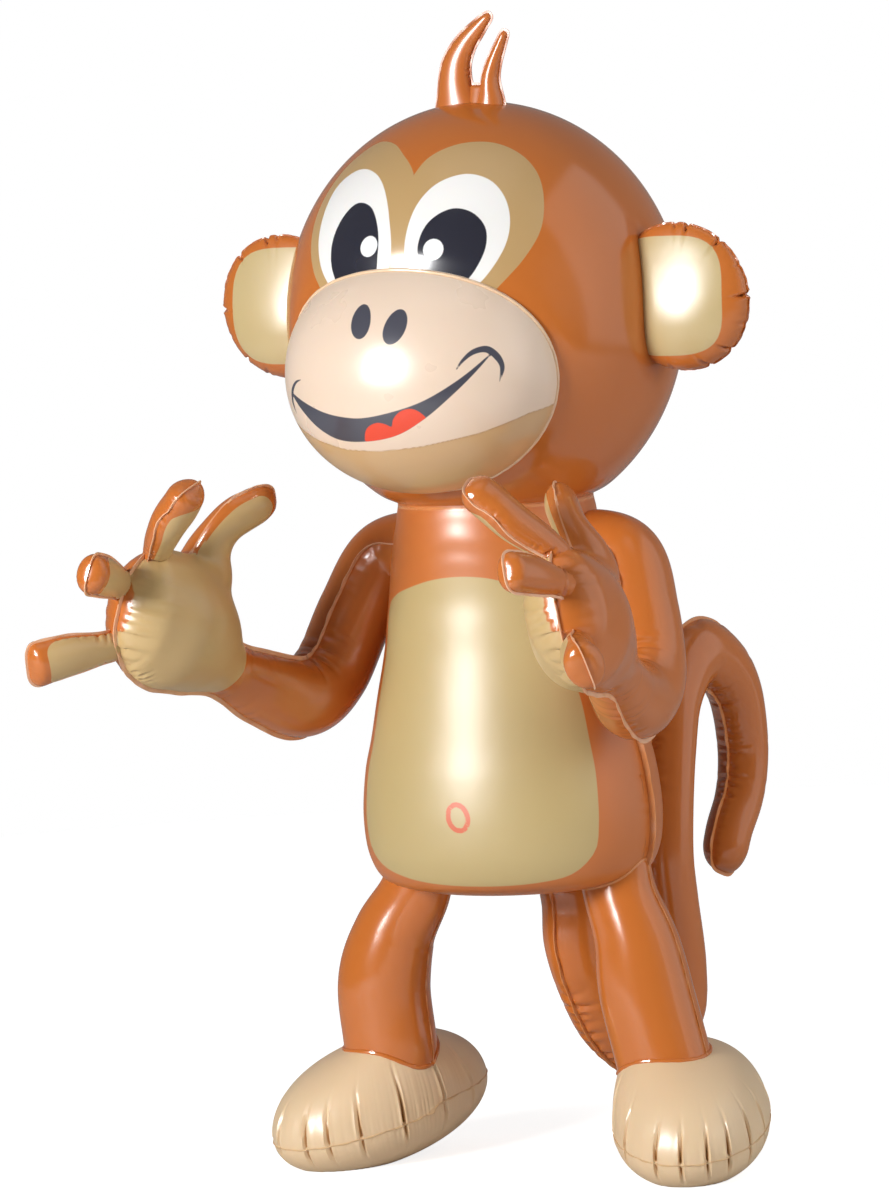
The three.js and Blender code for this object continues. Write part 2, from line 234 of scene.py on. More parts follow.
def skin(name, grid, film=None):
    """A closed mesh object from a grid of points in mm."""
    rows, columns = grid.shape[:2]
    index = np.arange(rows * columns).reshape(rows, columns)
    beside = np.roll(index, -1, axis=1)
    quads = np.stack([index[:-1], beside[:-1], beside[1:], index[1:]], axis=-1).reshape(-1, 4)
    obj = from_points(name, grid, quads)
    obj.modifiers.new("weld", "WELD").merge_threshold = SAME_POINT * MM
    bake(obj)
    facing_out(obj)
    if film:
        obj.data.materials.append(film)
    return shaded(obj)


def bake(obj):
    """Make what the modifiers show the object's own mesh."""
    shown = obj.evaluated_get(bpy.context.evaluated_depsgraph_get())
    mesh = bpy.data.meshes.new_from_object(shown)
    old = obj.data
    obj.modifiers.clear()
    obj.data = mesh
    bpy.data.meshes.remove(old)


def corners(obj):
    """The object's vertices in mm."""
    out = np.zeros(len(obj.data.vertices) * 3, np.float32)
    obj.data.vertices.foreach_get("co", out)
    return out.reshape(-1, 3).astype(float) / MM


def facing_out(obj):
    """Turn a closed mesh's faces over if it holds a negative volume."""
    mesh = obj.data
    mesh.calc_loop_triangles()
    triangles = np.zeros(len(mesh.loop_triangles) * 3, np.int32)
    mesh.loop_triangles.foreach_get("vertices", triangles)
    a, b, c = corners(obj)[triangles.reshape(-1, 3)].transpose(1, 0, 2)
    if np.einsum("ij,ij->", a, np.cross(b, c)) < 0:
        mesh.flip_normals()


def combine(obj, others, operation):
    """Cut other closed objects from this one, or join them to it. The others are used up."""
    for other in others:
        step = obj.modifiers.new("combine", "BOOLEAN")
        step.operation = operation
        step.solver = "MANIFOLD"
        step.object = other
        bake(obj)
        bpy.data.objects.remove(other)
    shaded(obj)


def store(obj, name, values):
    """Numbers on the object's vertices, for the material to read."""
    layer = obj.data.attributes.get(name) or obj.data.attributes.new(name, "FLOAT", "POINT")
    layer.data.foreach_set("value", np.asarray(values, np.float32))


def raised(obj, name, values):
    """Raise the object's numbers to these values where they are lower."""
    now = np.zeros(len(values), np.float32)
    obj.data.attributes[name].data.foreach_get("value", now)
    store(obj, name, np.maximum(now, values))


def nearest(points):
    """A search tree over points in mm."""
    tree = KDTree(len(points))
    for i, point in enumerate(points):
        tree.insert(point, i)
    tree.balance()
    return tree


# %% [markdown]
# ## Creases
#
# Where a weld bends, the film beside it is gathered. Each crease is a narrow valley with a low
# lip on both sides. It is deepest just off the weld and fades out along its length. Its place,
# length and depth vary by a seeded random number, so that no two are alike and each run is the
# same.

# %% Creases
LIP, LIP_AT = 0.35, 1.8  # the lips' height as a share of the depth, and their place in half widths


def pleats(start, end, spacing, reach, depth, width, slant=0.25):
    """Rows of [place along the weld, reach, depth, width, slant], all in mm but the slant."""
    count = max(int(abs(end - start) / spacing), 1)
    at = np.linspace(start, end, count, endpoint=False) + rng.uniform(0.1, 0.9, count) * spacing
    vary = rng.uniform(0.45, 1.25, (3, count))
    return np.column_stack([at, reach * vary[0], depth * vary[1], width * (0.6 + 0.4 * vary[2]),
                            rng.uniform(-slant, slant, count)])


def moved(rows, by):
    """The same creases some mm further along."""
    return rows + [by, 0, 0, 0, 0]


def pressed(along, off, marks, root=0.8):
    """How deep the creases press the film in: `along` the weld and `off` it, in mm."""
    depth = np.zeros(np.broadcast(along, off).shape)
    for at, reach, deep, wide, slant in marks:
        x = (along - at - slant * off) / wide
        fade = np.clip(1 - off / reach, 0, 1) ** 1.2 * (1 - np.exp(-off / root))
        depth += deep * fade * (np.exp(-x * x) - LIP * np.exp(-((np.abs(x) - LIP_AT) ** 2)))
    return depth


# %% [markdown]
# ## A welded tube
#
# Arms, fingers, legs, the tail and the hair are all the same thing: two strips of film welded
# along both sides and round the end, with air between them. The section is round with a fin on
# either side. `facing` is the way that the front sheet looks.

# %% Welded tube
def section(around):
    """The columns of a welded section: front sheet, left fin, back sheet, right fin. Each has an
    angle, whether it is on a fin, and its sheet, 1 in front and -1 behind."""
    turn = np.linspace(0, math.pi, around + 1)
    angle = np.concatenate([turn, [math.pi, math.pi], turn + math.pi, [0, 0]])
    on_fin = np.concatenate([turn * 0, [1, 1], turn * 0, [1, 1]])
    return angle, on_fin, np.concatenate([turn * 0 + 1, [1, -1], turn * 0 - 1, [-1, 1]])


def tube(points, sizes, facing, pitch=1.1, around=50, cap=0.08, fin=2.0, marks=(), tips=(),
         sink=0.9, wave=0.5):
    """The grid of a welded tube, with what each of its points is: how far inside the fin, on
    which sheet, how far off the weld, along the tube and from its end, in mm. Marks are creases
    at a weld, as (weld, sheet, rows), and tips are creases across the end, as (sheet, rows)."""
    length = curve(points, [0, 1])[1]
    ends = 1 - np.cos(np.linspace(0, math.pi / 2, max(int(cap * length / pitch * 1.6), 8)))
    middle = np.linspace(cap, 1 - cap, int((1 - 2 * cap) * length / pitch))
    share = np.concatenate([cap * ends[:-1], middle, 1 - cap * ends[-2::-1]])
    centre = curve(points, share)[0]
    ahead = np.gradient(centre, share, axis=0)
    ahead /= np.linalg.norm(ahead, axis=1)[:, None]
    side = np.cross(np.array(facing, float), ahead)
    side /= np.linalg.norm(side, axis=1)[:, None]
    outward = np.cross(ahead, side)
    inset = np.minimum(share, 1 - share)
    round_ = np.sqrt(np.clip(1 - (1 - np.minimum(inset / cap, 1)) ** 2, 0, 1))
    size = stations(sizes, share)
    width = np.maximum(size[:, 0] * np.sqrt(round_) - sink * np.sqrt(round_), 0)
    thick = size[:, 1] * round_
    # The fin follows the tube's outline, so it turns forward round the end
    run = share * length
    slope = np.gradient(width, run)
    slope[0], slope[-1] = 1e6, -1e6
    fin_side = 1 / np.hypot(1, slope)
    fin_ahead = -slope / np.hypot(1, slope)
    angle, on_fin, sheet = section(around)
    across = np.cos(angle)
    mean = (width + thick)[:, None] / 2
    off = np.minimum(angle % math.pi, math.pi - angle % math.pi)[None] * mean
    along = np.repeat(run[:, None], len(angle), axis=1)
    depth = np.zeros(along.shape)
    for weld, which, rows in marks:
        here = (sheet == which) & ((across > 0) == (weld > 0)) & (on_fin == 0)
        depth[:, here] += pressed(along[:, here], off[:, here], rows)
    # Gathers at the tip lie side by side across it
    for which, rows in tips:
        here = (sheet == which) & (on_fin == 0)
        beside = (across[None] * width[:, None])[:, here]
        depth[:, here] += pressed(beside, (length - along)[:, here], rows)
    shrink = 1 - depth / np.maximum(mean, 4)
    x = across[None] * width[:, None] * shrink
    y = np.sin(angle)[None] * thick[:, None] * shrink + (1 - on_fin * 0.3) * sheet * 0.35
    # The fin ripples gently out of its plane
    ripple = wave * np.sin(run / 3.1 + 2 * np.sin(run / 11)) * np.sin(run / 7.3)
    y += on_fin * ripple[:, None]
    x += on_fin * np.sign(across) * (fin * fin_side)[:, None]
    z = on_fin * (fin * fin_ahead)[:, None]
    grid = (centre[:, None] + x[..., None] * side[:, None] + y[..., None] * outward[:, None]
            + z[..., None] * ahead[:, None])
    facts = {"fin": on_fin - off, "sheet": np.broadcast_to(sheet, off.shape), "off": off,
             "along": along, "to_end": length - along, "fin_column": on_fin > 0}
    return grid, facts


# %% [markdown]
# ## The head
#
# The head is one big ball, a little taller than wide. The muzzle, the ears, the neck and the hair
# are welded to it, and each weld draws the skin in a little, which is what bends the reflections
# beside it. So the ball is made twice: once plain, to find the lines where the other bags meet
# it, and then finely, with a shallow groove along those lines.

# %% Ball and weld lines
def ball(centre, half, tall, around):
    """A grid over an ellipsoid, from its top to its bottom."""
    up = np.linspace(math.pi / 2, -math.pi / 2, tall + 1)[:, None]
    turn = np.linspace(0, 2 * math.pi, around, endpoint=False)[None]
    unit = np.stack([np.sin(turn) * np.cos(up), -np.cos(turn) * np.cos(up),
                     np.sin(up) + 0 * turn], axis=-1)
    return np.array(centre) + unit * np.array(half)


def weld_line(grid, other):
    """Where each column of a grid goes into another closed object: one ring of points."""
    mesh = other.data
    tree = BVHTree.FromObject(other, bpy.context.evaluated_depsgraph_get())
    ring = []
    for column in range(grid.shape[1]):
        last = None
        for point in grid[:, column]:
            near, normal, _, _ = tree.find_nearest(Vector(point * MM))
            level = (Vector(point * MM) - near).dot(normal) / MM
            if last is not None and (last[1] < 0) != (level < 0):
                cross = last[0] + (point - last[0]) * last[1] / (last[1] - level)
                if not ring or np.linalg.norm(cross - ring[-1]) > 0.5:
                    ring.append(cross)
                break
            last = (point, level)
    return np.array(ring[:-1] if np.linalg.norm(ring[0] - ring[-1]) < 0.5 else ring)


# %% [markdown]
# Where two bags meet, the hot tool leaves a raised bead of molten film. Swept along the weld line as a
# thin ring and joined to the bag, it catches the light as the real one does. At the neck and at the seat
# it also takes the fin's lighter colour, which is a painted highlight.

# %% Weld beads
BEAD_SIDES = 10


def bead(ring, radius):
    """A closed ring of welded film along a line, a little uneven in thickness."""
    count = max(int(curve(ring, [0, 1], closed=True)[1] / 1.6), 24)
    line = curve(ring, np.linspace(0, 1, count, endpoint=False), closed=True)[0]
    ahead = np.roll(line, -1, axis=0) - np.roll(line, 1, axis=0)
    ahead /= np.linalg.norm(ahead, axis=1)[:, None]
    out = line - line.mean(axis=0)
    out -= ahead * (out * ahead).sum(axis=1)[:, None]
    out /= np.linalg.norm(out, axis=1)[:, None]
    turn = np.linspace(0, 2 * math.pi, BEAD_SIDES, endpoint=False)
    vary = radius * (1 + 0.12 * np.sin(np.arange(count) * 0.9) * np.sin(np.arange(count) * 0.37))
    rows = (line[:, None] + (np.cos(turn)[None] * vary[:, None])[..., None] * out[:, None]
            + (np.sin(turn)[None] * vary[:, None])[..., None] * np.cross(ahead, out)[:, None])
    index = np.arange(count * BEAD_SIDES).reshape(count, BEAD_SIDES)
    beside, beyond = np.roll(index, -1, axis=1), np.roll(index, -1, axis=0)
    quads = np.stack([index, beside, np.roll(beyond, -1, axis=1), beyond], axis=-1).reshape(-1, 4)
    obj = from_points("bead", rows, quads)
    facing_out(obj)
    return obj


# %% [markdown]
# The head and the muzzle are given by their middles and their half sizes. The muzzle leans back, so
# that it bulges most below its middle. The other bags are cut back to a core, which is the head a
# little small, so that no film is doubled where they meet.

# %% Head core and muzzle grid
HEAD_AT, HEAD_HALF = (0, 0, 475.8), (110, 110, 118)
MUZZLE_AT, MUZZLE_HALF = (0, -73, 452.8), (80, 64, 68)
MUZZLE_LEAN = 0.08  # mm forward for each mm down
CORE_GAP = 1.2  # mm by which the bags welded to the head go into it


def head_core():
    """The head a little small: what the bags welded to it are cut back to."""
    return skin("core", ball(HEAD_AT, np.array(HEAD_HALF) - CORE_GAP, 60, 110))


def off_line(points, *rings):
    """How far points are from the nearest of some closed lines, in mm."""
    lines = [curve(ring, np.linspace(0, 1, 400), closed=True)[0] for ring in rings]
    tree = nearest(np.vstack(lines))
    return np.array([tree.find(point)[2] for point in points])


def level(points, centre, half):
    """Roughly how far points lie outside an ellipsoid, in mm."""
    n = np.linalg.norm((np.asarray(points) - centre) / np.array(half), axis=-1)
    return (n - 1) * np.mean(half)


# The muzzle's grid runs from its front to its back, so each column goes into the head once
MUZZLE_ROWS, MUZZLE_COLUMNS = 128, 430
back_off = np.linspace(0, 1, MUZZLE_ROWS + 1)[:, None] ** 1.02 * math.radians(140)
turn = np.linspace(0, 2 * math.pi, MUZZLE_COLUMNS, endpoint=False)[None]
muzzle_grid = np.array(MUZZLE_AT) + np.array(MUZZLE_HALF) * np.stack(
    [np.sin(back_off) * np.cos(turn), -np.cos(back_off) + 0 * turn, np.sin(back_off) * np.sin(turn)],
    axis=-1)
muzzle_grid[..., 1] += MUZZLE_LEAN * (muzzle_grid[..., 2] - MUZZLE_AT[2])
muzzle_grid[-1] = muzzle_grid[-1].mean(axis=0)
head_plain = skin("head_plain", ball(HEAD_AT, HEAD_HALF, 60, 110))
muzzle_ring = weld_line(muzzle_grid[40:, ::4], head_plain)
print("muzzle weld:", len(muzzle_ring), "points round", np.ptp(muzzle_ring, axis=0).round(0), "mm")

# %% [markdown]
# ## Prints
#
# The artist's outlines are given where they lie on the ball, in degrees: to the monkey's left,
# and up. Both the outline and the mesh's vertices are unrolled to a flat map in mm, where the
# distance to the outline is easy to find. The mesh then carries that distance, and the material
# turns it into an edge.

# %% Outlines and distances
def on_ball(points, centre, half):
    """Degrees to the left and up of points on an ellipsoid."""
    n = (points - np.array(centre)) / np.array(half)
    n /= np.linalg.norm(n, axis=1)[:, None]
    return np.degrees(np.column_stack([np.arctan2(n[:, 0], -n[:, 1]), np.arcsin(n[:, 2])]))


def unrolled(degrees, radius):
    """A flat map of a ball's surface in mm, true near its middle."""
    turned = np.radians(np.asarray(degrees, float))
    return radius * np.column_stack([turned[:, 0] * np.cos(turned[:, 1]), turned[:, 1]])


FAR_OUT = -9.0  # the number given to points that are nowhere near a print, in mm


def near_by(points, shape):
    """Indices of the points near a shape, in batches that the memory holds."""
    close = np.all((points > shape.min(0) - 4) & (points < shape.max(0) + 4), axis=1)
    close = np.flatnonzero(close)
    return np.array_split(close, len(close) // 8000 + 1)


def inside(points, outline, smooth=True):
    """How far in mm each flat point lies inside a closed outline; outside is negative."""
    if smooth:
        outline = curve(outline, np.linspace(0, 1, 110, endpoint=False), closed=True)[0]
    a, b = np.asarray(outline, float), np.roll(outline, -1, axis=0)
    out = np.full(len(points), FAR_OUT)
    for few in near_by(points, a):
        p = points[few][:, None]
        side = b - a
        t = np.clip(((p - a) * side).sum(-1) / (side * side).sum(-1), 0, 1)
        away = np.linalg.norm(p - a - t[..., None] * side, axis=-1).min(axis=1)
        span = (a[:, 1] > p[..., 1]) != (b[:, 1] > p[..., 1])
        rise = np.where(side[:, 1] == 0, 1e-9, side[:, 1])
        crossed = span & (p[..., 0] < a[:, 0] + side[:, 0] * (p[..., 1] - a[:, 1]) / rise)
        out[few] = np.where(crossed.sum(axis=1) % 2, away, -away)
    return out


def stroke(points, line, widths):
    """How far in mm each flat point lies inside a brush stroke of changing half width."""
    share = np.linspace(0, 1, 160)
    path = curve(line, share)[0]
    half = np.interp(share, np.linspace(0, 1, len(widths)), widths)
    out = np.full(len(points), FAR_OUT)
    for few in near_by(points, path):
        away = np.linalg.norm(points[few][:, None] - path, axis=-1)
        out[few] = (half - away).max(axis=1)
    return out


# %% [markdown]
# The face is two halves of a mask, with an eye and a pupil in each. All of them run on down under
# the muzzle, and so does the outline here.

# %% Outlines of the face
MASK_LEFT = [(2, 44), (7, 50.9), (19.4, 55.4), (33.9, 55.6), (45.9, 51), (51.3, 42.7), (50.5, 34.2),
             (46.9, 25.1), (40.6, 17.7), (32, 10.2), (20, 0), (0, -6), (-6, 8), (-2, 30)]
MASK_RIGHT = [(2, 44), (-8.3, 52.1), (-19.4, 56.6), (-33.5, 57.5), (-42.5, 52), (-46, 43), (-44, 32),
              (-38.1, 22.1), (-30.3, 13.2), (-20, 2), (-4, -6), (4, 8), (4, 30)]
EYE_LEFT = [(4.8, 18), (4.1, 26.9), (7.1, 35.7), (13.5, 41.3), (23.4, 43.6), (32.4, 41), (37.1, 34.3),
            (37.2, 26.8), (34.3, 20), (25.8, 11), (14, 8)]
EYE_RIGHT = [(-29.8, 18.3), (-35.6, 27.2), (-39.4, 39.4), (-33, 45.5), (-25.5, 46.6), (-17, 44.8),
             (-10.4, 40.9), (-3.6, 31.4), (-0.8, 18.2), (-8, 9), (-20, 9)]
PUPIL_LEFT = [(8.2, 22), (11.2, 29), (18.5, 32.6), (25.4, 31.2), (29.6, 26), (28.5, 19.5), (22, 12),
              (11, 13)]
PUPIL_RIGHT = [(-25.2, 22), (-24.6, 30), (-19.5, 35.2), (-12.5, 34.2), (-7.2, 28.5), (-5.2, 21),
               (-7, 13), (-19, 11)]


def oval(middle, wide, tall, lean=0.0, count=16):
    """An oval outline, leaning over by some degrees."""
    turn = np.linspace(0, 2 * math.pi, count, endpoint=False)
    c, s = math.cos(math.radians(lean)), math.sin(math.radians(lean))
    x, y = wide * np.cos(turn), tall * np.sin(turn)
    return [(middle[0] + c * u + s * v, middle[1] - s * u + c * v) for u, v in zip(x, y)]


# %% [markdown]
# The muzzle carries the nostrils, the open grin with its curled ends, and the tongue. A seam
# crosses it under the grin, and the panel below that is a darker film.

# %% Muzzle
UPPER_LIP = [(-49, -7), (-34.2, -12.4), (-23.8, -15.9), (-14.1, -17.8), (-5.1, -18.3), (9, -15.7),
             (21.4, -11.5), (35.1, -3.5), (50.6, 7.8)]
LOWER_LIP = [(50.6, 7), (35, -8.1), (21.8, -19.6), (9.5, -26.8), (-6.6, -29.7), (-21.4, -28.7),
             (-31.4, -23.6), (-39.5, -16.5), (-49, -8)]
TONGUE = [(-6, -31), (-5.8, -27.5), (-3.4, -23), (1.5, -20.6), (5.4, -21.4), (7.6, -22.6), (9, -19),
          (12.5, -15.5), (17, -14.6), (20.6, -16.6), (23, -20.5), (12, -32)]
SEAM = [(-110, -8), (-85, -14), (-54.5, -23.7), (-36, -30.2), (-18.5, -34.3), (0, -35), (19.9, -33.2),
        (46.4, -28.3), (72, -20.8), (90, -18.6), (110, -16)]
MUZZLE_MAP = 70


muzzle = skin("muzzle_skin", muzzle_grid, muzzle_film)
combine(muzzle, [head_core()], "DIFFERENCE")
combine(muzzle, [bead(muzzle_ring, 0.9)], "UNION")
at = on_ball(corners(muzzle), MUZZLE_AT, MUZZLE_HALF)
flat = unrolled(at, MUZZLE_MAP)
lips = np.vstack([curve(line, np.linspace(0, 1, 60))[0] for line in (UPPER_LIP, LOWER_LIP)])
mouth = inside(flat, unrolled(lips, MUZZLE_MAP), smooth=False)
curls = [
    ([(-38.2, -1.2), (-43, -2.6), (-47.5, -6.4), (-50, -11.5), (-49.4, -17.5)], [0.2, 0.9, 1.6, 1.4, 0.2]),
    ([(35.6, 1.6), (39, 6), (44, 9.6), (49.8, 10.4), (54, 7), (56, 2.2), (54.4, -4.6)],
     [0.2, 0.9, 1.5, 1.9, 1.9, 1.3, 0.2]),
]
ink = mouth
for line, widths in curls:
    ink = np.maximum(ink, stroke(flat, unrolled(line, MUZZLE_MAP), widths))
for middle, lean in (((-6.6, 27), -9), ((10.9, 23.8), 17)):
    ink = np.maximum(ink, inside(flat, unrolled(oval(middle, 5.1, 9.2, lean), MUZZLE_MAP)))
store(muzzle, "ink", ink)
store(muzzle, "tongue", np.minimum(inside(flat, unrolled(TONGUE, MUZZLE_MAP)), mouth))
under_seam = np.radians(np.interp(at[:, 0], *np.array(SEAM).T) - at[:, 1]) * MUZZLE_MAP
store(muzzle, "lower", under_seam)
store(muzzle, "panel_seam", 0.45 - np.abs(under_seam))
store(muzzle, "fin", 1.5 - off_line(corners(muzzle), muzzle_ring))
print("muzzle:", len(muzzle.data.polygons), "faces")

# %% [markdown]
# ## Ears and feet: pads
#
# An ear and a foot are pads: two round sheets welded all round their rim. Seen from the side a
# pad is full to near its rim and then closes quickly. The rim is longer than the air wants it to
# be, so it gathers: each crease pulls the rim in a little, and the outline comes out scalloped.

# %% Welded pad
# Painted shade: a crease is darkened wherever it goes deeper than this.
CREASE_SHADE_DEPTH = 0.9  # mm deep, where a crease starts to look dark


def pad(rim, above, below, marks, rows, columns, fin, pull, fullness=2.0, sag=0.0):
    """A grid over a pad that lies in the XY plane, how far each point is inside its fin, and by how much
    its crease is deeper than where painted shade begins. Marks are (sheet, rows), where 0 means both
    sheets. With some `sag` its upper sheet is fuller towards -Y."""
    turn = np.linspace(0, 2 * math.pi, columns, endpoint=False)
    edge = rim(turn)
    outline = np.column_stack([edge * np.cos(turn), edge * np.sin(turn)])
    step = np.linalg.norm(np.roll(outline, -1, axis=0) - outline, axis=1)
    along = np.concatenate([[0], np.cumsum(step)[:-1]])
    reach = np.sin(np.linspace(0, math.pi / 2, rows + 1))
    grids, offs, creases = [], [], []
    for sign, tall in ((1, above), (-1, below)):
        # Rows from the pole out to the rim, evenly spaced along the swell
        swell = np.sqrt(np.clip(1 - reach ** fullness, 0, 1))
        steps = np.hypot(np.diff(reach) * edge.mean(), np.diff(swell) * tall)
        arc = np.concatenate([[0], np.cumsum(steps)])
        even = np.interp(np.linspace(0, 1, rows + 1), arc / arc[-1], reach)
        off = (arc[-1] * (1 - np.linspace(0, 1, rows + 1)))[:, None] + 0 * turn[None]
        lap = np.broadcast_to(along[None], off.shape)
        total = along[-1] + step[-1]
        here = np.vstack([m for which, m in marks if which in (0, sign)])
        round_marks = np.vstack([here, moved(here, total), moved(here, -total)])
        depth = pressed(lap, off, round_marks, root=0.5)
        scallop = np.zeros(columns)
        for place, _, deep, wide, _ in round_marks:
            scallop += pull * deep * np.exp(-((along - place) / (wide * 1.1)) ** 2)
        high = np.sqrt(np.clip(1 - even ** fullness, 0, 1))
        out = edge[None] - scallop[None] * (even ** 6)[:, None]
        x = even[:, None] * out * np.cos(turn)[None]
        y = even[:, None] * out * np.sin(turn)[None]
        z = sign * (tall * high[:, None] + 0.3) - (sign > 0) * sag * y * high[:, None]
        # Creases go in along the skin's normal
        lean = np.clip(even ** 3, 0, 1)[:, None]
        x -= depth * lean * np.cos(turn)[None]
        y -= depth * lean * np.sin(turn)[None]
        z -= sign * depth * np.sqrt(1 - lean ** 2)
        grid = np.stack([x, y, z], axis=-1)
        tip = grid[-1].copy()
        wave = 0.35 * np.sin(along / 2.3 + np.sin(along / 9))
        tip[:, 0] += fin * np.cos(turn)
        tip[:, 1] += fin * np.sin(turn)
        tip[:, 2] = sign * 0.2 + wave
        block = np.concatenate([grid, tip[None]])
        off = np.concatenate([off, np.full((1, columns), -1.0)])
        grids.append(block if sign > 0 else block[::-1])
        offs.append(off if sign > 0 else off[::-1])
        depth = np.concatenate([depth, depth[-1:]])
        creases.append(depth if sign > 0 else depth[::-1])
    off = np.concatenate(offs)
    # The crease shade is painted: the film is darkened where a crease goes deeper than the depth above.
    facts = {"fin": np.where(off < 0, 1.0, -off), "crease_shade": np.concatenate(creases) - CREASE_SHADE_DEPTH}
    return np.concatenate(grids), facts


# %% [markdown]
# A pad is made lying down, then turned and moved to its place. After it has been cut, its vertices are new
# ones, so each takes what it is (its fin and its painted crease shade) from the nearest point of the grid.

# %% Placing pads and carrying facts over
def placed(grid, turns, move):
    """A grid turned about X, Y or Z in steps, in degrees, and then moved."""
    matrix = Matrix.Identity(3)
    for axis, angle in turns:
        matrix = Matrix.Rotation(math.radians(angle), 3, axis) @ matrix
    return grid @ np.array(matrix).T + np.array(move)


def carried(obj, parts, names):
    """Give the object the facts of the nearest grid points, after its cuts. Parts are
    (grid, facts)."""
    tree = nearest(np.vstack([grid.reshape(-1, 3) for grid, _ in parts]))
    hits = [tree.find(point)[1] for point in corners(obj)]
    for name in names:
        store(obj, name, np.concatenate([facts[name].reshape(-1) for _, facts in parts])[hits])


def mirrored(grid):
    return grid * np.array([-1, 1, 1])


# %% [markdown]
# The ears gather in a few deep creases round the far rim. The print on the front sheet is a disc
# with four soft corners, cut off where the ear meets the head.

# %% Ears
EAR_RADIUS, EAR_AT = 40.2, (123, -4, 483.8)
# Gathers round the far rim: place along the rim in mm, reach, depth, width, slant
ear_marks = np.vstack([
    [[0, 11, 2.3, 1.1, 0], [34, 11, 2.0, 1.1, 0.1], [55, 9, 2.3, 1.1, 0], [62, 8, 1.2, 1.1, 0.1],
     [-33, 11, 1.9, 1.1, -0.1], [-49, 9, 2.0, 1.1, 0], [-70, 8, 1.3, 1.1, 0], [17, 6, 0.6, 1, 0],
     [-16, 6, 0.6, 1, 0]],
    pleats(-80, 84, 5, 4.5, 0.2, 0.8)])
EAR_HALF_THICK = 15.5
EAR_PRINT_AT, EAR_PRINT_HALF = (119, 484.8), (33.5, 32.5)
ear_grids = []
for side, sign in (("left", 1), ("right", -1)):
    grid, facts = pad(lambda turn: np.full(len(turn), EAR_RADIUS), EAR_HALF_THICK, EAR_HALF_THICK,
                      [(0, ear_marks)], rows=36, columns=340, fin=0.9, pull=0.75, sag=0.22)
    grid = placed(grid, [("X", 96)], EAR_AT)
    grid = grid if sign > 0 else mirrored(grid)
    ear = skin(side + "_ear_skin", grid, ear_film)
    ear_grids.append(grid)
    combine(ear, [head_core()], "DIFFERENCE")
    carried(ear, [(grid, facts)], ["fin", "crease_shade"])
    at = corners(ear)
    front = at[:, 1] < EAR_AT[1] + (at[:, 2] - EAR_AT[2]) * 0.1
    from_middle = np.column_stack([np.abs(at[:, 0]), at[:, 2]]) - EAR_PRINT_AT
    square = (np.abs(from_middle / EAR_PRINT_HALF) ** 3.2).sum(axis=1)
    disc = 33 * (1 - square ** (1 / 3.2))
    store(ear, "ear_print", np.where(front, disc, -5))
print("ears:", len(ear.data.polygons), "faces each")

# %% [markdown]
# ## Torso
#
# The torso is a pear: full at the seat, narrow at the neck, and flatter from front to back. Its
# side seams stand out as fins from the seat to the armpits, with small gathers at the seat where
# the sheets turn under.

# %% Torso
# Half width and height up the side, from the seat to the top of the neck
PROFILE = [(0.5, 156.6), (34, 157.6), (60, 159.8), (76.5, 165.9), (83.4, 177.7), (86, 198.6),
           (83.4, 225.9), (79.1, 243.7), (74.4, 266.4), (68.8, 291.9), (65.8, 312.8), (61.9, 335.9),
           (58, 353.4), (54, 373), (53, 385), (30, 388.5), (0.5, 389)]
SEAT, TORSO_TALL = 155, 218
BELLY_DEPTH, NECK_DEPTHER = 0.87, 0.16  # depth for width, and how much more of it at the neck
ARMPIT, NECK_FOOT, NECK_TOP = 348, 336, 373


def depth_ratio(up):
    """How deep the torso is for its width: it turns round towards the neck."""
    rise = np.clip(((up - SEAT) / TORSO_TALL - 0.74) / 0.26, 0, 1)
    return BELLY_DEPTH + NECK_DEPTHER * rise * rise * (3 - 2 * rise)


def torso_grid(pitch=1.55, around=110, fin=3.6, marks=()):
    length = curve(PROFILE, [0, 1])[1]
    line = curve(PROFILE, np.linspace(0, 1, int(length / pitch)))[0]
    wide, up = line[:, 0].copy(), line[:, 1]
    wide[0] = wide[-1] = 0
    angle, on_fin, sheet = section(around)
    off = np.minimum(angle % math.pi, math.pi - angle % math.pi)[None] * wide[:, None] * 0.9
    along = np.repeat(up[:, None], len(angle), axis=1)
    depth = np.zeros(off.shape)
    for which, rows in marks:
        here = (sheet == which) & (on_fin == 0)
        depth[:, here] += pressed(along[:, here], off[:, here], rows)
    # The fin starts at the seat and runs out under the arm
    taper = np.clip((up - SEAT - 3) / 10, 0, 1) * np.clip((ARMPIT - up) / 30, 0, 1)
    # Under the head the film is a little long, and lies in low waves
    waves = 0.14 * np.sin(up[:, None] * 0.42 + 1.1 * np.cos(3 * angle)[None] + np.sin(7 * angle)[None])
    on_neck = np.clip((up - NECK_FOOT) / 12, 0, 1) * np.clip((NECK_TOP - up) / 5, 0, 1)
    depth += waves * on_neck[:, None]
    shrink = 1 - depth / np.maximum(wide, 6)[:, None]
    inset = 0.8 * taper[:, None]
    x = np.cos(angle)[None] * np.maximum(wide[:, None] - inset, 0) * shrink
    x += np.sign(np.cos(angle)) * on_fin * (fin * taper)[:, None]
    y = -np.sin(angle)[None] * (wide * depth_ratio(up))[:, None] * shrink
    flap = 0.5 * np.sin(up / 3.7) * np.sin(up / 9.1)
    y -= (1 - 0.3 * on_fin) * sheet * 0.35 * taper[:, None] - on_fin * (flap * taper)[:, None]
    grid = np.stack([x, y, along], axis=-1)
    grid[0, :, 2] = grid[0, 0, 2]
    # The weld has a second, inner edge, which shows as a thin dark line low on each side
    edge = 0.4 - np.abs(off - 5 - 0.7 * np.sin(along / 6)) - np.clip((along - 235) / 20, 0, 2)
    facts = {"fin": np.where(on_fin > 0, np.minimum(1, 4 * taper[:, None] - 0.5), -off),
             "weld_edge": np.where(along < 166, -2, edge)}
    return grid, facts


seat = pleats(164, 226, 5.5, 13, 1.2, 1.3, 0.3)
torso, torso_facts = torso_grid(marks=[(1, seat), (-1, seat + [1.5, 2, 0, 0, 0.1])])
torso_plain = skin("torso_plain", torso_grid(pitch=4, around=50, fin=0.5)[0])


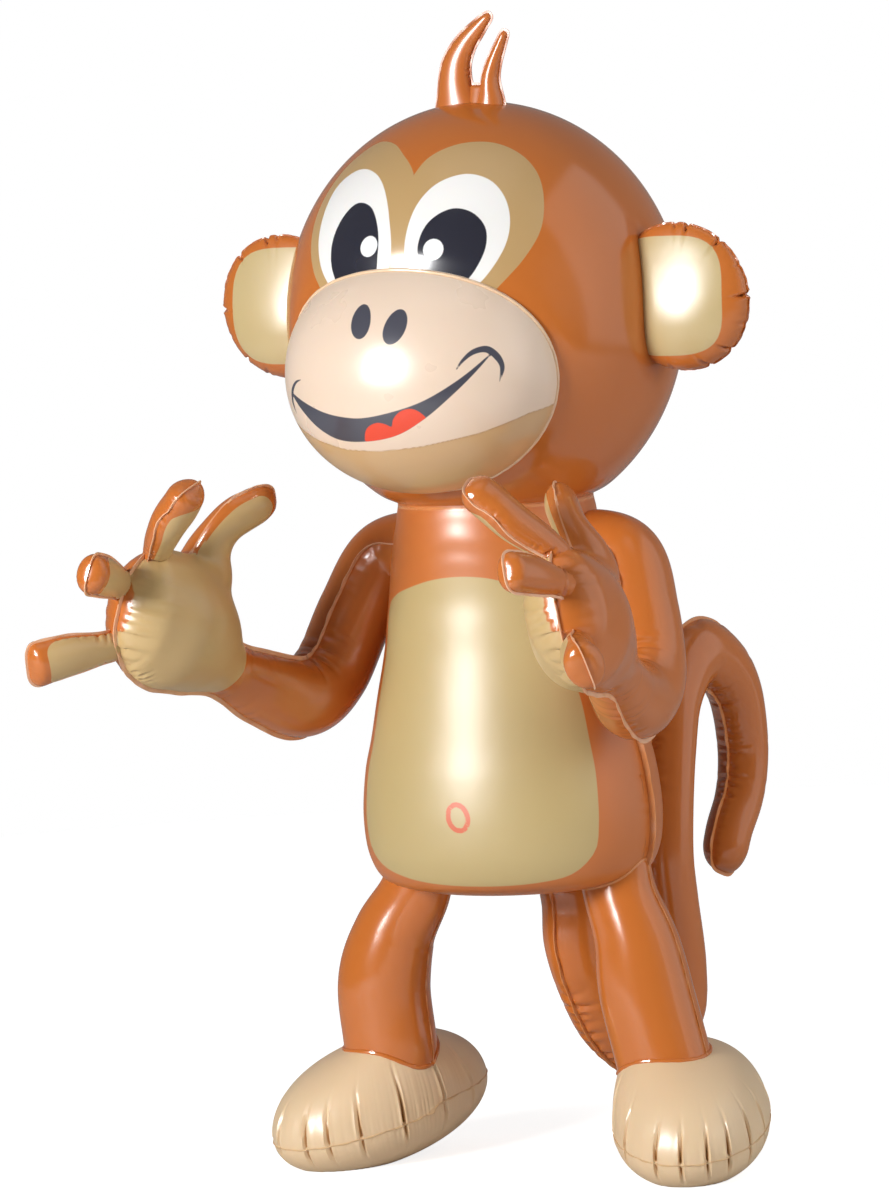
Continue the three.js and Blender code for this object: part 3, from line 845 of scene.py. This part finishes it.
def torso_core():
    """The torso a little small, without its fins."""
    small = torso_grid(pitch=4, around=50, fin=-1.0)[0]
    middle = np.array([0, 0, 250])
    return skin("core", middle + (small - middle) * 0.985)


neck_ring = weld_line(torso[::-1, ::5][2:], head_plain)
body = skin("torso_skin", torso, body_film)
combine(body, [head_core()], "DIFFERENCE")
combine(body, [bead(neck_ring, 1.0)], "UNION")
# The patch's outline: degrees round to the monkey's left, and the height
BELLY = [(-54.5, 317.4), (-44.4, 324.5), (-27.6, 330.4), (-8.1, 335.5), (10.8, 336.5), (27.1, 333.1),
         (39.4, 324.5), (46.7, 310.8), (54.5, 290.9), (59, 267), (59.9, 248.4),
        (60, 229.4), (59.4, 210.9), (58.8, 198.3), (57.6, 185.7), (53.2, 177.3), (47, 171.6),
        (32.5, 168.2), (10, 167.2), (-13.5, 168.6), (-28.8, 171.8), (-40.4, 176.4), (-48.1, 184.5),
        (-51.3, 197), (-52.6, 225), (-52.9, 262), (-53.3, 297)]
BELLY_MAP, NAVEL_LINE = 76, 2.7  # the radius of the flat map, and the navel's line width, in mm
at = corners(body)
around = np.degrees(np.arctan2(at[:, 0], -at[:, 1] / depth_ratio(at[:, 2])))
flat = np.column_stack([np.radians(around) * BELLY_MAP, at[:, 2]])
outline = [(math.radians(a) * BELLY_MAP, z) for a, z in BELLY]
store(body, "belly", inside(flat, outline))
navel = oval((4.9, 206.2), 5.1, 7.3, -12)
store(body, "navel", NAVEL_LINE / 2 - np.abs(inside(flat, navel)))
carried(body, [(torso, torso_facts)], ["fin", "weld_edge"])
# The neck's bead takes the fin's lighter colour, a painted highlight.
raised(body, "fin", 0.9 - off_line(at, neck_ring))
print("torso:", len(body.data.polygons), "faces, neck weld", len(neck_ring), "points")

# %% [markdown]
# ## Head
#
# Now the lines are known, the head is made finely. Its skin dips by up to 1.5 mm beside each weld.

# %% Head
GROOVE_DEEP, GROOVE_WIDE = 1.5, 7
HEAD_MAP = 110
head_grid = ball(HEAD_AT, HEAD_HALF, 188, 356)
lines = [curve(muzzle_ring, np.linspace(0, 1, 400), closed=True)[0],
         curve(neck_ring, np.linspace(0, 1, 300), closed=True)[0]]
for ear_points in ear_grids:
    lines.append(ear_points[np.abs(level(ear_points, HEAD_AT, HEAD_HALF)) < 0.8])
tree = nearest(np.vstack(lines))
away = np.array([tree.find(point)[2] for point in head_grid.reshape(-1, 3)]).reshape(head_grid.shape[:2])
outward = (head_grid - HEAD_AT) / np.array(HEAD_HALF)
outward /= np.linalg.norm(outward, axis=-1)[..., None]
groove = GROOVE_DEEP * np.exp(-(away / GROOVE_WIDE) ** 2)
head = skin("head_skin", head_grid - outward * groove[..., None], head_film)
at = on_ball(corners(head), HEAD_AT, HEAD_HALF)
flat = unrolled(at, HEAD_MAP)
for name, outlines in (("mask", (MASK_LEFT, MASK_RIGHT)), ("eye_white", (EYE_LEFT, EYE_RIGHT)),
                       ("pupil", (PUPIL_LEFT, PUPIL_RIGHT)),
                       ("glint", (oval((13.2, 21.2), 3.2, 2.9), oval((-8.9, 22.6), 3.2, 2.9)))):
    store(head, name, np.max([inside(flat, unrolled(line, HEAD_MAP)) for line in outlines], axis=0))
print("head:", len(head.data.polygons), "faces")

# %% [markdown]
# ## Hair
#
# Two flat spikes of hair stand in the crown. They are cut from one pair of sheets, so they share
# their foot, with a low web between them, and a fin runs up both edges of each.

# %% Hair tuft
CROWN = 593.8
TALL = 48


def spike(line, widths):
    """A spike's grid and facts, from shares of the tuft's height."""
    points = [(x * TALL, -2, CROWN + up * TALL) for x, up in line]
    share = np.linspace(0, 1, len(widths))
    sizes = np.column_stack([share, np.array(widths) * TALL + 0.6, 9 * (1 - 0.75 * share)])
    rows = pleats(10, 45, 6, 5, 0.5, 1.1)
    return tube(points, sizes, (0, -1, 0), pitch=0.8, around=30, cap=0.05, fin=1.3, sink=1.0,
                wave=0.25, marks=[(1, 1, rows), (-1, 1, moved(rows, 2))])


big = spike([(-0.15, -0.3), (-0.19, 0.02), (-0.2, 0.28), (-0.16, 0.47), (-0.04, 0.67), (0.135, 0.85),
             (0.29, 0.99)], [0.4, 0.29, 0.22, 0.18, 0.135, 0.095, 0.05])
small = spike([(0.21, -0.3), (0.25, 0.02), (0.26, 0.27), (0.32, 0.46), (0.4, 0.63), (0.48, 0.79)],
              [0.25, 0.19, 0.125, 0.095, 0.07, 0.045])
web = spike([(0.06, -0.3), (0.075, -0.05), (0.085, 0.19)], [0.2, 0.15, 0.11])
tuft = skin("hair_tuft_skin", big[0], hair_film)
combine(tuft, [skin("small_spike", small[0]), skin("web", web[0])], "UNION")
combine(tuft, [head_core()], "DIFFERENCE")
carried(tuft, [big, small, web], ["fin"])
print("hair:", len(tuft.data.polygons), "faces")

# %% [markdown]
# ## Arms and hands
#
# Each arm is one tube from the shoulder to the fingers' roots, swelling to a cushion at the palm,
# with four finger tubes joined to it. Both arms have the same cut, so the right one is the left
# one mirrored. The palm side is printed, and the print stops short of the fingertips' welds.

# %% Arms
SHOULDER = np.array([70.5, 0, 341])
ARM = 300
PALM_FACING = (-0.97, -0.115, -0.21)


def arm_points(shares):
    """Points in mm from shares of the arm's length, seen from the shoulder."""
    return [SHOULDER + ARM * np.array(s) for s in shares]


FOREARM = [(-0.1, 0.02, 0.02), (0.01, 0.02, 0), (0.06, -0.02, -0.095), (0.095, -0.075, -0.205),
           (0.11, -0.15, -0.242), (0.135, -0.25, -0.214), (0.162, -0.342, -0.166),
           (0.176, -0.474, -0.073), (0.194, -0.566, -0.033), (0.206, -0.627, -0.019)]
ARM_SIZES = [(0, 23, 21.2), (0.14, 23, 21.2), (0.3, 23, 21.2), (0.45, 23, 21.2), (0.58, 19.6, 17.6),
             (0.68, 17.5, 15.8), (0.76, 30.4, 22.4), (0.85, 38.5, 27), (0.92, 36.2, 23.5), (1, 25, 19)]
WRIST = 204  # where the palm's print starts, in mm along the arm
PRINT_CORNER = 9  # the print's corner radius at a fingertip
# Thumb and fingers: points, half widths, the bare rim that the print leaves at the sides and at the
# tip, and the share of the length that the rounded tip takes. The last number says at how many of
# the widths, from the root, it is as thick as wide. Further on it is flatter.
DIGITS = [
    ([(0.168, -0.401, -0.036), (0.149, -0.407, 0.054), (0.115, -0.39, 0.105), (0.085, -0.352, 0.13),
      (0.06, -0.306, 0.146)], [17, 16.5, 13.5, 12, 10], 6, 6, 0.17, 2),
    ([(0.197, -0.516, 0.002), (0.176, -0.544, 0.06), (0.114, -0.599, 0.126), (0.076, -0.613, 0.164),
      (0.045, -0.63, 0.195)], [10, 9, 11.5, 13, 12], 5, 8, 0.1, 0),
    ([(0.213, -0.541, -0.015), (0.212, -0.598, 0.013), (0.197, -0.694, 0.043), (0.184, -0.768, 0.057)],
     [9, 8, 11, 11.5], 2.5, 9, 0.1, 0),
    ([(0.225, -0.557, -0.083), (0.246, -0.631, -0.093), (0.287, -0.707, -0.1), (0.328, -0.757, -0.112)],
     [9.5, 9, 12, 14], 2.5, 9, 0.1, 0),
]

# %% [markdown]
# The long creases run where the arm bends, the fine ones round the wrist and the heel of the hand,
# and a fan of deep ones pulls at the palm where the fingers are welded on.

# %% Forearm and palm
inner_bend = pleats(88, 150, 11, 20, 1.3, 2.8, 0.35)
outer_bend = pleats(80, 185, 5.5, 8, 0.6, 1.3)
wrist = pleats(168, 200, 6.5, 24, 1.0, 1.3, 0.5)
heel = pleats(205, 280, 6.5, 10, 0.8, 1.3)
shoulder = pleats(22, 66, 7, 12, 0.2, 1.8)
knuckles = pleats(262, 297, 4.0, 19, 1.9, 1.1)
# Which creases lie at which weld, on which sheet, and by how many mm they are moved there
GATHERS = [(1, 1, inner_bend, 0), (1, -1, inner_bend, 3), (-1, 1, outer_bend, 0), (-1, -1, outer_bend, 2),
           (1, 1, wrist, 0), (-1, 1, wrist, 3), (1, -1, wrist, 2), (-1, -1, wrist, 0),
           (1, 1, heel, 0), (-1, 1, heel, 0), (-1, -1, heel, 0), (1, -1, heel, 2),
           (1, 1, shoulder, 0), (1, -1, shoulder, 0), (-1, -1, shoulder, 3),
           (1, 1, knuckles, 0), (-1, 1, knuckles, 0), (1, -1, knuckles, 1), (-1, -1, knuckles, 0)]
forearm, facts = tube(
    arm_points(FOREARM), ARM_SIZES, PALM_FACING, pitch=1.15, around=50, cap=0.06, fin=2.4,
    marks=[(weld, sheet, moved(rows, by)) for weld, sheet, rows, by in GATHERS],
    tips=[(1, pleats(-24, 24, 4.6, 26, 1.9, 1.7, 0.1)), (-1, pleats(-24, 24, 6, 20, 1.3, 1.8, 0.1))])
# The print runs from the wrist to the weld at the fingers' roots
printed = np.minimum(facts["along"] - WRIST + 0.12 * facts["off"], facts["to_end"] - 1.2)
facts["palm"] = np.where(facts["sheet"] > 0, printed, -2 - facts["off"])
hand = [(forearm, facts)]
print("forearm:", facts["along"].max().round(), "mm long")

# %% [markdown]
# A fingertip is closed by one short weld across it, which crimps the film. The print on a finger
# leaves a bare rim beside the side welds, and a wider one at the tip.

# %% Thumb and fingers
for points, widths, margin, bare_tip, tip_share, full in DIGITS:
    last = len(widths) - 1
    sizes = [(i / last, w, w * (1 if i < full else 0.75)) for i, w in enumerate(widths)]
    reach = curve(arm_points(points), [0, 1])[1]
    tip = pleats(reach - 12, reach, 2.4, 4.5, 0.5, 0.6)
    crimps = [(s, pleats(-widths[-1], widths[-1], 2.6, 6, 0.7, 0.6, 0.1)) for s in (1, -1)]
    edge = pleats(18, reach - 14, 5, 6, 0.6, 1.0)
    base = pleats(12, 30, 6, 11, 1.8, 1.3, 0.5)
    grid, facts = tube(arm_points(points), sizes, PALM_FACING, pitch=0.85, around=28, cap=tip_share,
                       fin=1.4, sink=0.6, wave=0.4, tips=crimps,
                       marks=[(w, s, rows) for w in (1, -1) for s in (1, -1)
                              for rows in (tip, edge, moved(base, rng.uniform(0, 4)))])
    beside = facts["off"] - margin * np.clip(facts["along"] / reach * 1.6, 0, 1)
    below = facts["to_end"] - bare_tip
    corner = np.hypot(np.maximum(PRINT_CORNER - beside, 0), np.maximum(PRINT_CORNER - below, 0))
    printed = np.minimum(np.minimum(beside, below), PRINT_CORNER - corner)
    facts["palm"] = np.where(facts["sheet"] > 0, printed, -2 - facts["off"])
    hand.append((grid, facts))
print("digits:", len(hand) - 1)

# %% [markdown]
# The thumb's film runs over into the palm's without a step, because both are cut from the same
# sheet. Its joint is smoothed until the edge is gone, while the fingers' joints stay crisp.

# %% Joined hands
THUMB_ROOT = SHOULDER + ARM * np.array([0.155, -0.425, 0.03])


def melted(obj, middle, radius, rounds):
    """Smooth the skin round a point, so that a joint there has no edge."""
    away = np.linalg.norm(corners(obj) - middle, axis=1)
    group = obj.vertex_groups.new(name="melted")
    weights = np.clip(1.6 * (1 - away / radius), 0, 1)
    for i in np.flatnonzero(weights > 0.01):
        group.add([int(i)], float(weights[i]), "REPLACE")
    smooth = obj.modifiers.new("smooth", "SMOOTH")
    smooth.factor, smooth.iterations, smooth.vertex_group = 0.5, rounds, "melted"
    bake(obj)
    obj.vertex_groups.clear()


for side, turned in (("left", lambda g: g), ("right", mirrored)):
    arm = skin(side + "_arm_skin", turned(forearm), limb_film)
    combine(arm, [skin("finger", turned(grid)) for grid, _ in hand[1:]], "UNION")
    melted(arm, turned(THUMB_ROOT), 42, 130)
    combine(arm, [torso_core()], "DIFFERENCE")
    carried(arm, [(turned(grid), facts) for grid, facts in hand], ["palm", "fin"])
    print(side, "arm:", len(arm.data.polygons), "faces")

# %% [markdown]
# ## Legs and feet
#
# The legs are bowed tubes, and the right one more than the left. Each is welded to the seat and to
# the top of a foot, with a raised line at both welds. The feet are pads that tip down to the toes,
# with deep straight creases across their rim where the toes are.

# %% Legs
HIP, SHIN, ANKLE, FOOT_TALL = 64, 94, 61, 65
legs = {}
# The right leg is pinched thinner at the hip, so its front leans back and shows the lamp
for side, sign, knee, hip_thick in (("left", 1, 77, 19.4), ("right", -1, 88, 16.4)):
    knee_up = ANKLE + SHIN * 0.42
    points = [(HIP * 0.95, 0, 177), (HIP, 0, 155), (HIP * 0.35 + knee * 0.65, 0, knee_up + SHIN * 0.3),
              (knee, 0, knee_up), (86, 0, ANKLE), (88, 0, FOOT_TALL * 0.72)]
    sizes = [(0, 21.5, hip_thick - 3.8), (0.2, 21.5, hip_thick), (0.55, 27, 24.3), (0.8, 27.5, 24.8),
             (1, 27.5, 24.8)]
    outer, inner = pleats(40, 110, 3.6, 5, 0.45, 0.8), pleats(34, 118, 9, 8, 0.3, 1.6)
    grid, facts = tube(points, sizes, (0, -1, 0), pitch=1.15, around=52, cap=0.06, fin=0.6,
                       marks=[(1, 1, outer), (1, -1, outer), (-1, 1, inner), (-1, -1, inner)])
    legs[side] = (grid if sign > 0 else mirrored(grid), facts)
print("legs:", len(legs), "grids of", grid.shape[0], "rows")


# %% Feet
def foot_rim(turn):
    """The foot's outline: an oval that is a little wider at the toes."""
    toeward = np.cos(turn) * 0.5 + 0.5
    return 1 / np.hypot(np.cos(turn) / 72, np.sin(turn) / (45 * (0.92 + 0.08 * toeward)))


# Where the deep creases cross the rim, in mm along it from the toe
TOES = {"left": [-130, -104, -74, -45, -17, -2, 13, 27, 46, 67, 98],
        "right": [-132, -105, -74.5, -47, -28, -14.5, 6, 28, 58, 92]}
FOOT_SEAM = FOOT_TALL * 0.435
FOOT_DIP, FOOT_TURN, FOOT_AT = 11, 22, (98, 7, 0)  # down to the toes, outward, and its place
LIFT, LIFT_WIDE, LIFT_AT = 17, 36, (64, -16)  # how the leg draws the top sheet up
for side, sign in (("left", 1), ("right", -1)):
    deep = np.array([[place, 27, 2.8, 0.95, 0.05] for place in TOES[side]])
    under = deep * [1, 0.55, 0.8, 1, 1]
    fine = pleats(-150, 150, 3.4, 4.0, 0.35, 0.7)
    grid, facts = pad(foot_rim, FOOT_TALL - FOOT_SEAM, FOOT_SEAM, [(1, deep), (-1, under), (0, fine)],
                      fullness=2.5, fin=0.6, pull=0.35, rows=50, columns=420)
    grid = placed(grid, [("Y", FOOT_DIP), ("Z", -90)], (0, 0, FOOT_SEAM))
    grid[..., 2] = np.maximum(grid[..., 2], 0)
    grid = placed(grid, [("Z", FOOT_TURN)], FOOT_AT)
    # The top sheet is drawn up to the ankle, most of all in front and on the inside
    away2 = (grid[..., 0] - LIFT_AT[0]) ** 2 + (grid[..., 1] - LIFT_AT[1]) ** 2
    upper = np.clip((grid[..., 2] - FOOT_SEAM) / (FOOT_TALL - FOOT_SEAM), 0, 1)
    grid[..., 2] += LIFT * np.exp(-away2 / LIFT_WIDE ** 2) * np.sqrt(upper)
    grid = grid if sign > 0 else mirrored(grid)
    plain = skin("foot_plain", grid[::4, ::4])
    leg_grid, leg_facts = legs[side]
    columns = np.flatnonzero(~leg_facts["fin_column"])[::4]
    top_ring = weld_line(leg_grid[:, columns], torso_plain)
    low_ring = weld_line(leg_grid[::-1, columns], plain)
    bpy.data.objects.remove(plain)
    leg = skin(side + "_leg_skin", leg_grid, orange_film)
    combine(leg, [torso_core()], "DIFFERENCE")
    combine(leg, [bead(top_ring, 0.9), bead(low_ring, 1.3)], "UNION")
    carried(leg, [(leg_grid, leg_facts)], ["fin"])
    # The bead at the seat takes the fin's lighter colour, a painted highlight.
    raised(leg, "fin", 1.1 - off_line(corners(leg), top_ring))
    foot = skin(side + "_foot_skin", grid, foot_film)
    middle = leg_grid.reshape(-1, 3).mean(axis=0)
    slimmer = middle + (leg_grid[::3, ::3] - middle) * [0.96, 0.96, 1]
    combine(foot, [skin("core", slimmer)], "DIFFERENCE")
    carried(foot, [(grid, facts)], ["fin", "crease_shade"])
    print(side, "leg and foot:", len(leg.data.polygons), len(foot.data.polygons), "faces")

# %% [markdown]
# ## Tail
#
# The tail drops from the back of the seat, bends up and ends in a hook. Its welds run along the
# inside and the outside of the bends, so the inner one is strongly gathered.

# %% Tail
TAIL_TURN = math.radians(10)
TAIL_TALL = 271
# Shares of the tail's height: how far behind the figure's axis, and how far up
TAIL = [(0.188, 0.521), (0.188, 0.439), (0.229, 0.336), (0.295, 0.243), (0.425, 0.173), (0.52, 0.24),
        (0.535, 0.332), (0.52, 0.48), (0.513, 0.564), (0.523, 0.679), (0.543, 0.8), (0.568, 0.897),
        (0.622, 0.966), (0.676, 0.986), (0.745, 0.951), (0.792, 0.888), (0.812, 0.779), (0.805, 0.705),
        (0.786, 0.653), (0.746, 0.591), (0.712, 0.509)]
line = [(46, 163)] + [(out * TAIL_TALL, up * TAIL_TALL) for out, up in TAIL]
points = [(math.sin(TAIL_TURN) * out, math.cos(TAIL_TURN) * out, up) for out, up in line]
length = curve(points, [0, 1])[1]
rows = [pleats(60, 190, 6, 15, 1.5, 1.8), pleats(300, length - 40, 6, 14, 1.5, 1.7),
        pleats(length - 60, length - 2, 3, 7, 0.8, 0.9), pleats(40, length - 60, 7, 7, 0.6, 1.4)]
tail_grid, tail_facts = tube(
    points, [(0, 19, 18), (0.3, 18, 17.1), (0.6, 16.5, 16.5), (0.72, 19.5, 16.1), (0.84, 15.4, 15.1),
             (1, 14, 12.6)],
    (math.cos(TAIL_TURN), -math.sin(TAIL_TURN), 0), pitch=1.3, around=42, cap=0.03, fin=2.0,
    marks=[(w, s, moved(r, rng.uniform(0, 3))) for w in (1, -1) for s in (1, -1) for r in rows])
tail = skin("tail_skin", tail_grid, orange_film)
combine(tail, [torso_core()], "DIFFERENCE")
carried(tail, [(tail_grid, tail_facts)], ["fin"])
print("tail:", len(tail.data.polygons), "faces,", round(length), "mm long")

# %% [markdown]
# ## Riding the frame
#
# Every bag stands for one solid of the frame. It is parented to the frame's root, and the solid it stands
# for is hidden.

# %% Ride
bpy.data.objects.remove(head_plain)
bpy.data.objects.remove(torso_plain)
faces = 0
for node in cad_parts:
    piece = bpy.data.objects[node + "_skin"]
    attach(piece, "root")
    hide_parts(node)
    faces += sum(len(face.vertices) - 2 for face in piece.data.polygons)
print("triangles in all:", faces)

# %% [markdown]
# ## Floor, light and camera
#
# A pale floor and a pale surround, a soft box in front of the monkey, and a wide pale board on its
# left side. The soft box makes the glow on the belly and the white bars on the legs, and the board
# makes the milky sheet of light on the side of the head. The floor and the surround are white only
# where the camera sees them straight, so that they don't wash the colours out.

# %% Floor and surround
FLOOR_RADIUS, FLOOR_SIDES = 1600, 96
turn = np.linspace(0, 2 * math.pi, FLOOR_SIDES, endpoint=False)
rim = FLOOR_RADIUS * np.column_stack([np.cos(turn), np.sin(turn), turn * 0])
floor = from_points("floor", rim, np.arange(FLOOR_SIDES)[None])
paper = bpy.data.materials.new("white paper, matt")
paper.use_nodes = True
tree = paper.node_tree
tree.nodes.clear()
lit = add(tree, "ShaderNodeLightPath")
share = add(tree, "ShaderNodeMapRange", {"To Max": 0.8}, {"Value": lit.outputs["Is Camera Ray"]})
# Backlit paper, as under a light table, so that it stays white to its edge
sheet = add(tree, "ShaderNodeBsdfPrincipled",
            {"Base Color": linear("#d4d3d1"), "Roughness": 0.9, "Emission Color": linear("#ffffff")},
            {"Emission Strength": share.outputs[0]})
add(tree, "ShaderNodeOutputMaterial", {}, {"Surface": sheet.outputs[0]})
floor.data.materials.append(paper)
world = bpy.data.worlds.new("surround")
bpy.context.scene.world = world
world.use_nodes = True
tree = world.node_tree
tree.nodes.clear()
way = add(tree, "ShaderNodeTexCoord")
split = add(tree, "ShaderNodeSeparateXYZ", {}, {"Vector": way.outputs["Generated"]})
# Seen straight, the surround is white paper. It lights the monkey only a little, and less from
# the front, where the studio is dark round the camera.
depth = add(tree, "ShaderNodeMapRange",
            {"From Min": -0.5, "From Max": 0.9, "To Min": 0.07, "To Max": 0.24,
             "interpolation_type": "SMOOTHSTEP"}, {"Value": split.outputs["Y"]})
seen = add(tree, "ShaderNodeLightPath")
bright = add(tree, "ShaderNodeMix", {3: 1.0}, {0: seen.outputs["Is Camera Ray"], 2: depth.outputs[0]})
glow = add(tree, "ShaderNodeBackground", {"Color": linear("#ffffff")}, {"Strength": bright.outputs[0]})
add(tree, "ShaderNodeOutputWorld", {}, {"Surface": glow.outputs[0]})
print("floor:", 2 * FLOOR_RADIUS, "mm across")

# %% Lights
MIDDLE = Vector((0, 0, 0.36))


def soft_box(name, azimuth, elevation, away, wide, tall, watts, in_gloss=True, in_colour=True):
    """A rectangular lamp that looks at the monkey, in degrees, metres and watts. Azimuth 0 is
    straight in front of it, and 90 is on its left. It can be kept out of the gloss or out of the
    colour."""
    light = bpy.data.lights.new(name, "AREA")
    light.shape = "RECTANGLE"
    light.size, light.size_y = wide, tall
    light.energy = watts
    lamp = bpy.data.objects.new(name, light)
    a, e = math.radians(azimuth), math.radians(elevation)
    way = Vector((math.sin(a) * math.cos(e), -math.cos(a) * math.cos(e), math.sin(e)))
    lamp.location = MIDDLE + way * away
    lamp.rotation_euler = way.to_track_quat("Z", "Y").to_euler()
    lamp.visible_glossy = in_gloss
    lamp.visible_diffuse = in_colour
    bpy.context.scene.collection.objects.link(lamp)


soft_box("key", -17, 14, 2.2, 0.66, 0.6, 46)
# This one shows only in the gloss, and lifts the glow on the belly to white
soft_box("shine", -17.5, 15, 2.25, 0.62, 0.5, 15, in_colour=False)
soft_box("board", 112, 22, 2.4, 2.5, 3.2, 14.5)
# The fill lights the monkey's left side, and does not show in the gloss
soft_box("fill", 80, 15, 2.4, 1.5, 1.5, 18, in_gloss=False)
soft_box("top", 20, 80, 2.4, 1.6, 1.6, 3)
print("lamps:", len(bpy.data.lights))

# %% [markdown]
# The camera was found from the photograph: a long lens, a little above the monkey's waist, turned
# 28.5 degrees to its left and rolled by 3 degrees.

# %% Camera
AZIMUTH, ELEVATION, ROLL = math.radians(28.5), math.radians(5.6), math.radians(3.18)
DISTANCE = 3.730
LOOK_AT = Vector((-0.0009, -0.0642, 0.3248))
SENSOR = 36  # mm high
PHOTO_TALL = 1.2 / 1.83  # metres of the figure that the photograph's height takes in, at LOOK_AT
back = Vector((math.sin(AZIMUTH) * math.cos(ELEVATION), -math.cos(AZIMUTH) * math.cos(ELEVATION),
               math.sin(ELEVATION)))
right = Vector((math.cos(AZIMUTH), math.sin(AZIMUTH), 0))
up = back.cross(right)
across = right * math.cos(ROLL) - up * math.sin(ROLL)
upward = right * math.sin(ROLL) + up * math.cos(ROLL)
camera_data = bpy.data.cameras.new("camera")
camera_data.sensor_fit = "VERTICAL"
camera_data.sensor_height = SENSOR
camera_data.lens = SENSOR * DISTANCE / PHOTO_TALL
camera = bpy.data.objects.new("camera", camera_data)
camera.matrix_world = Matrix((
    (across.x, upward.x, back.x, 0), (across.y, upward.y, back.y, 0),
    (across.z, upward.z, back.z, 0), (0, 0, 0, 1)))
camera.location = LOOK_AT + back * DISTANCE
bpy.context.scene.collection.objects.link(camera)
bpy.context.scene.camera = camera
bpy.context.scene.view_settings.view_transform = "Standard"
print("camera", [round(v, 3) for v in camera.location], "lens", round(camera_data.lens, 1), "mm")
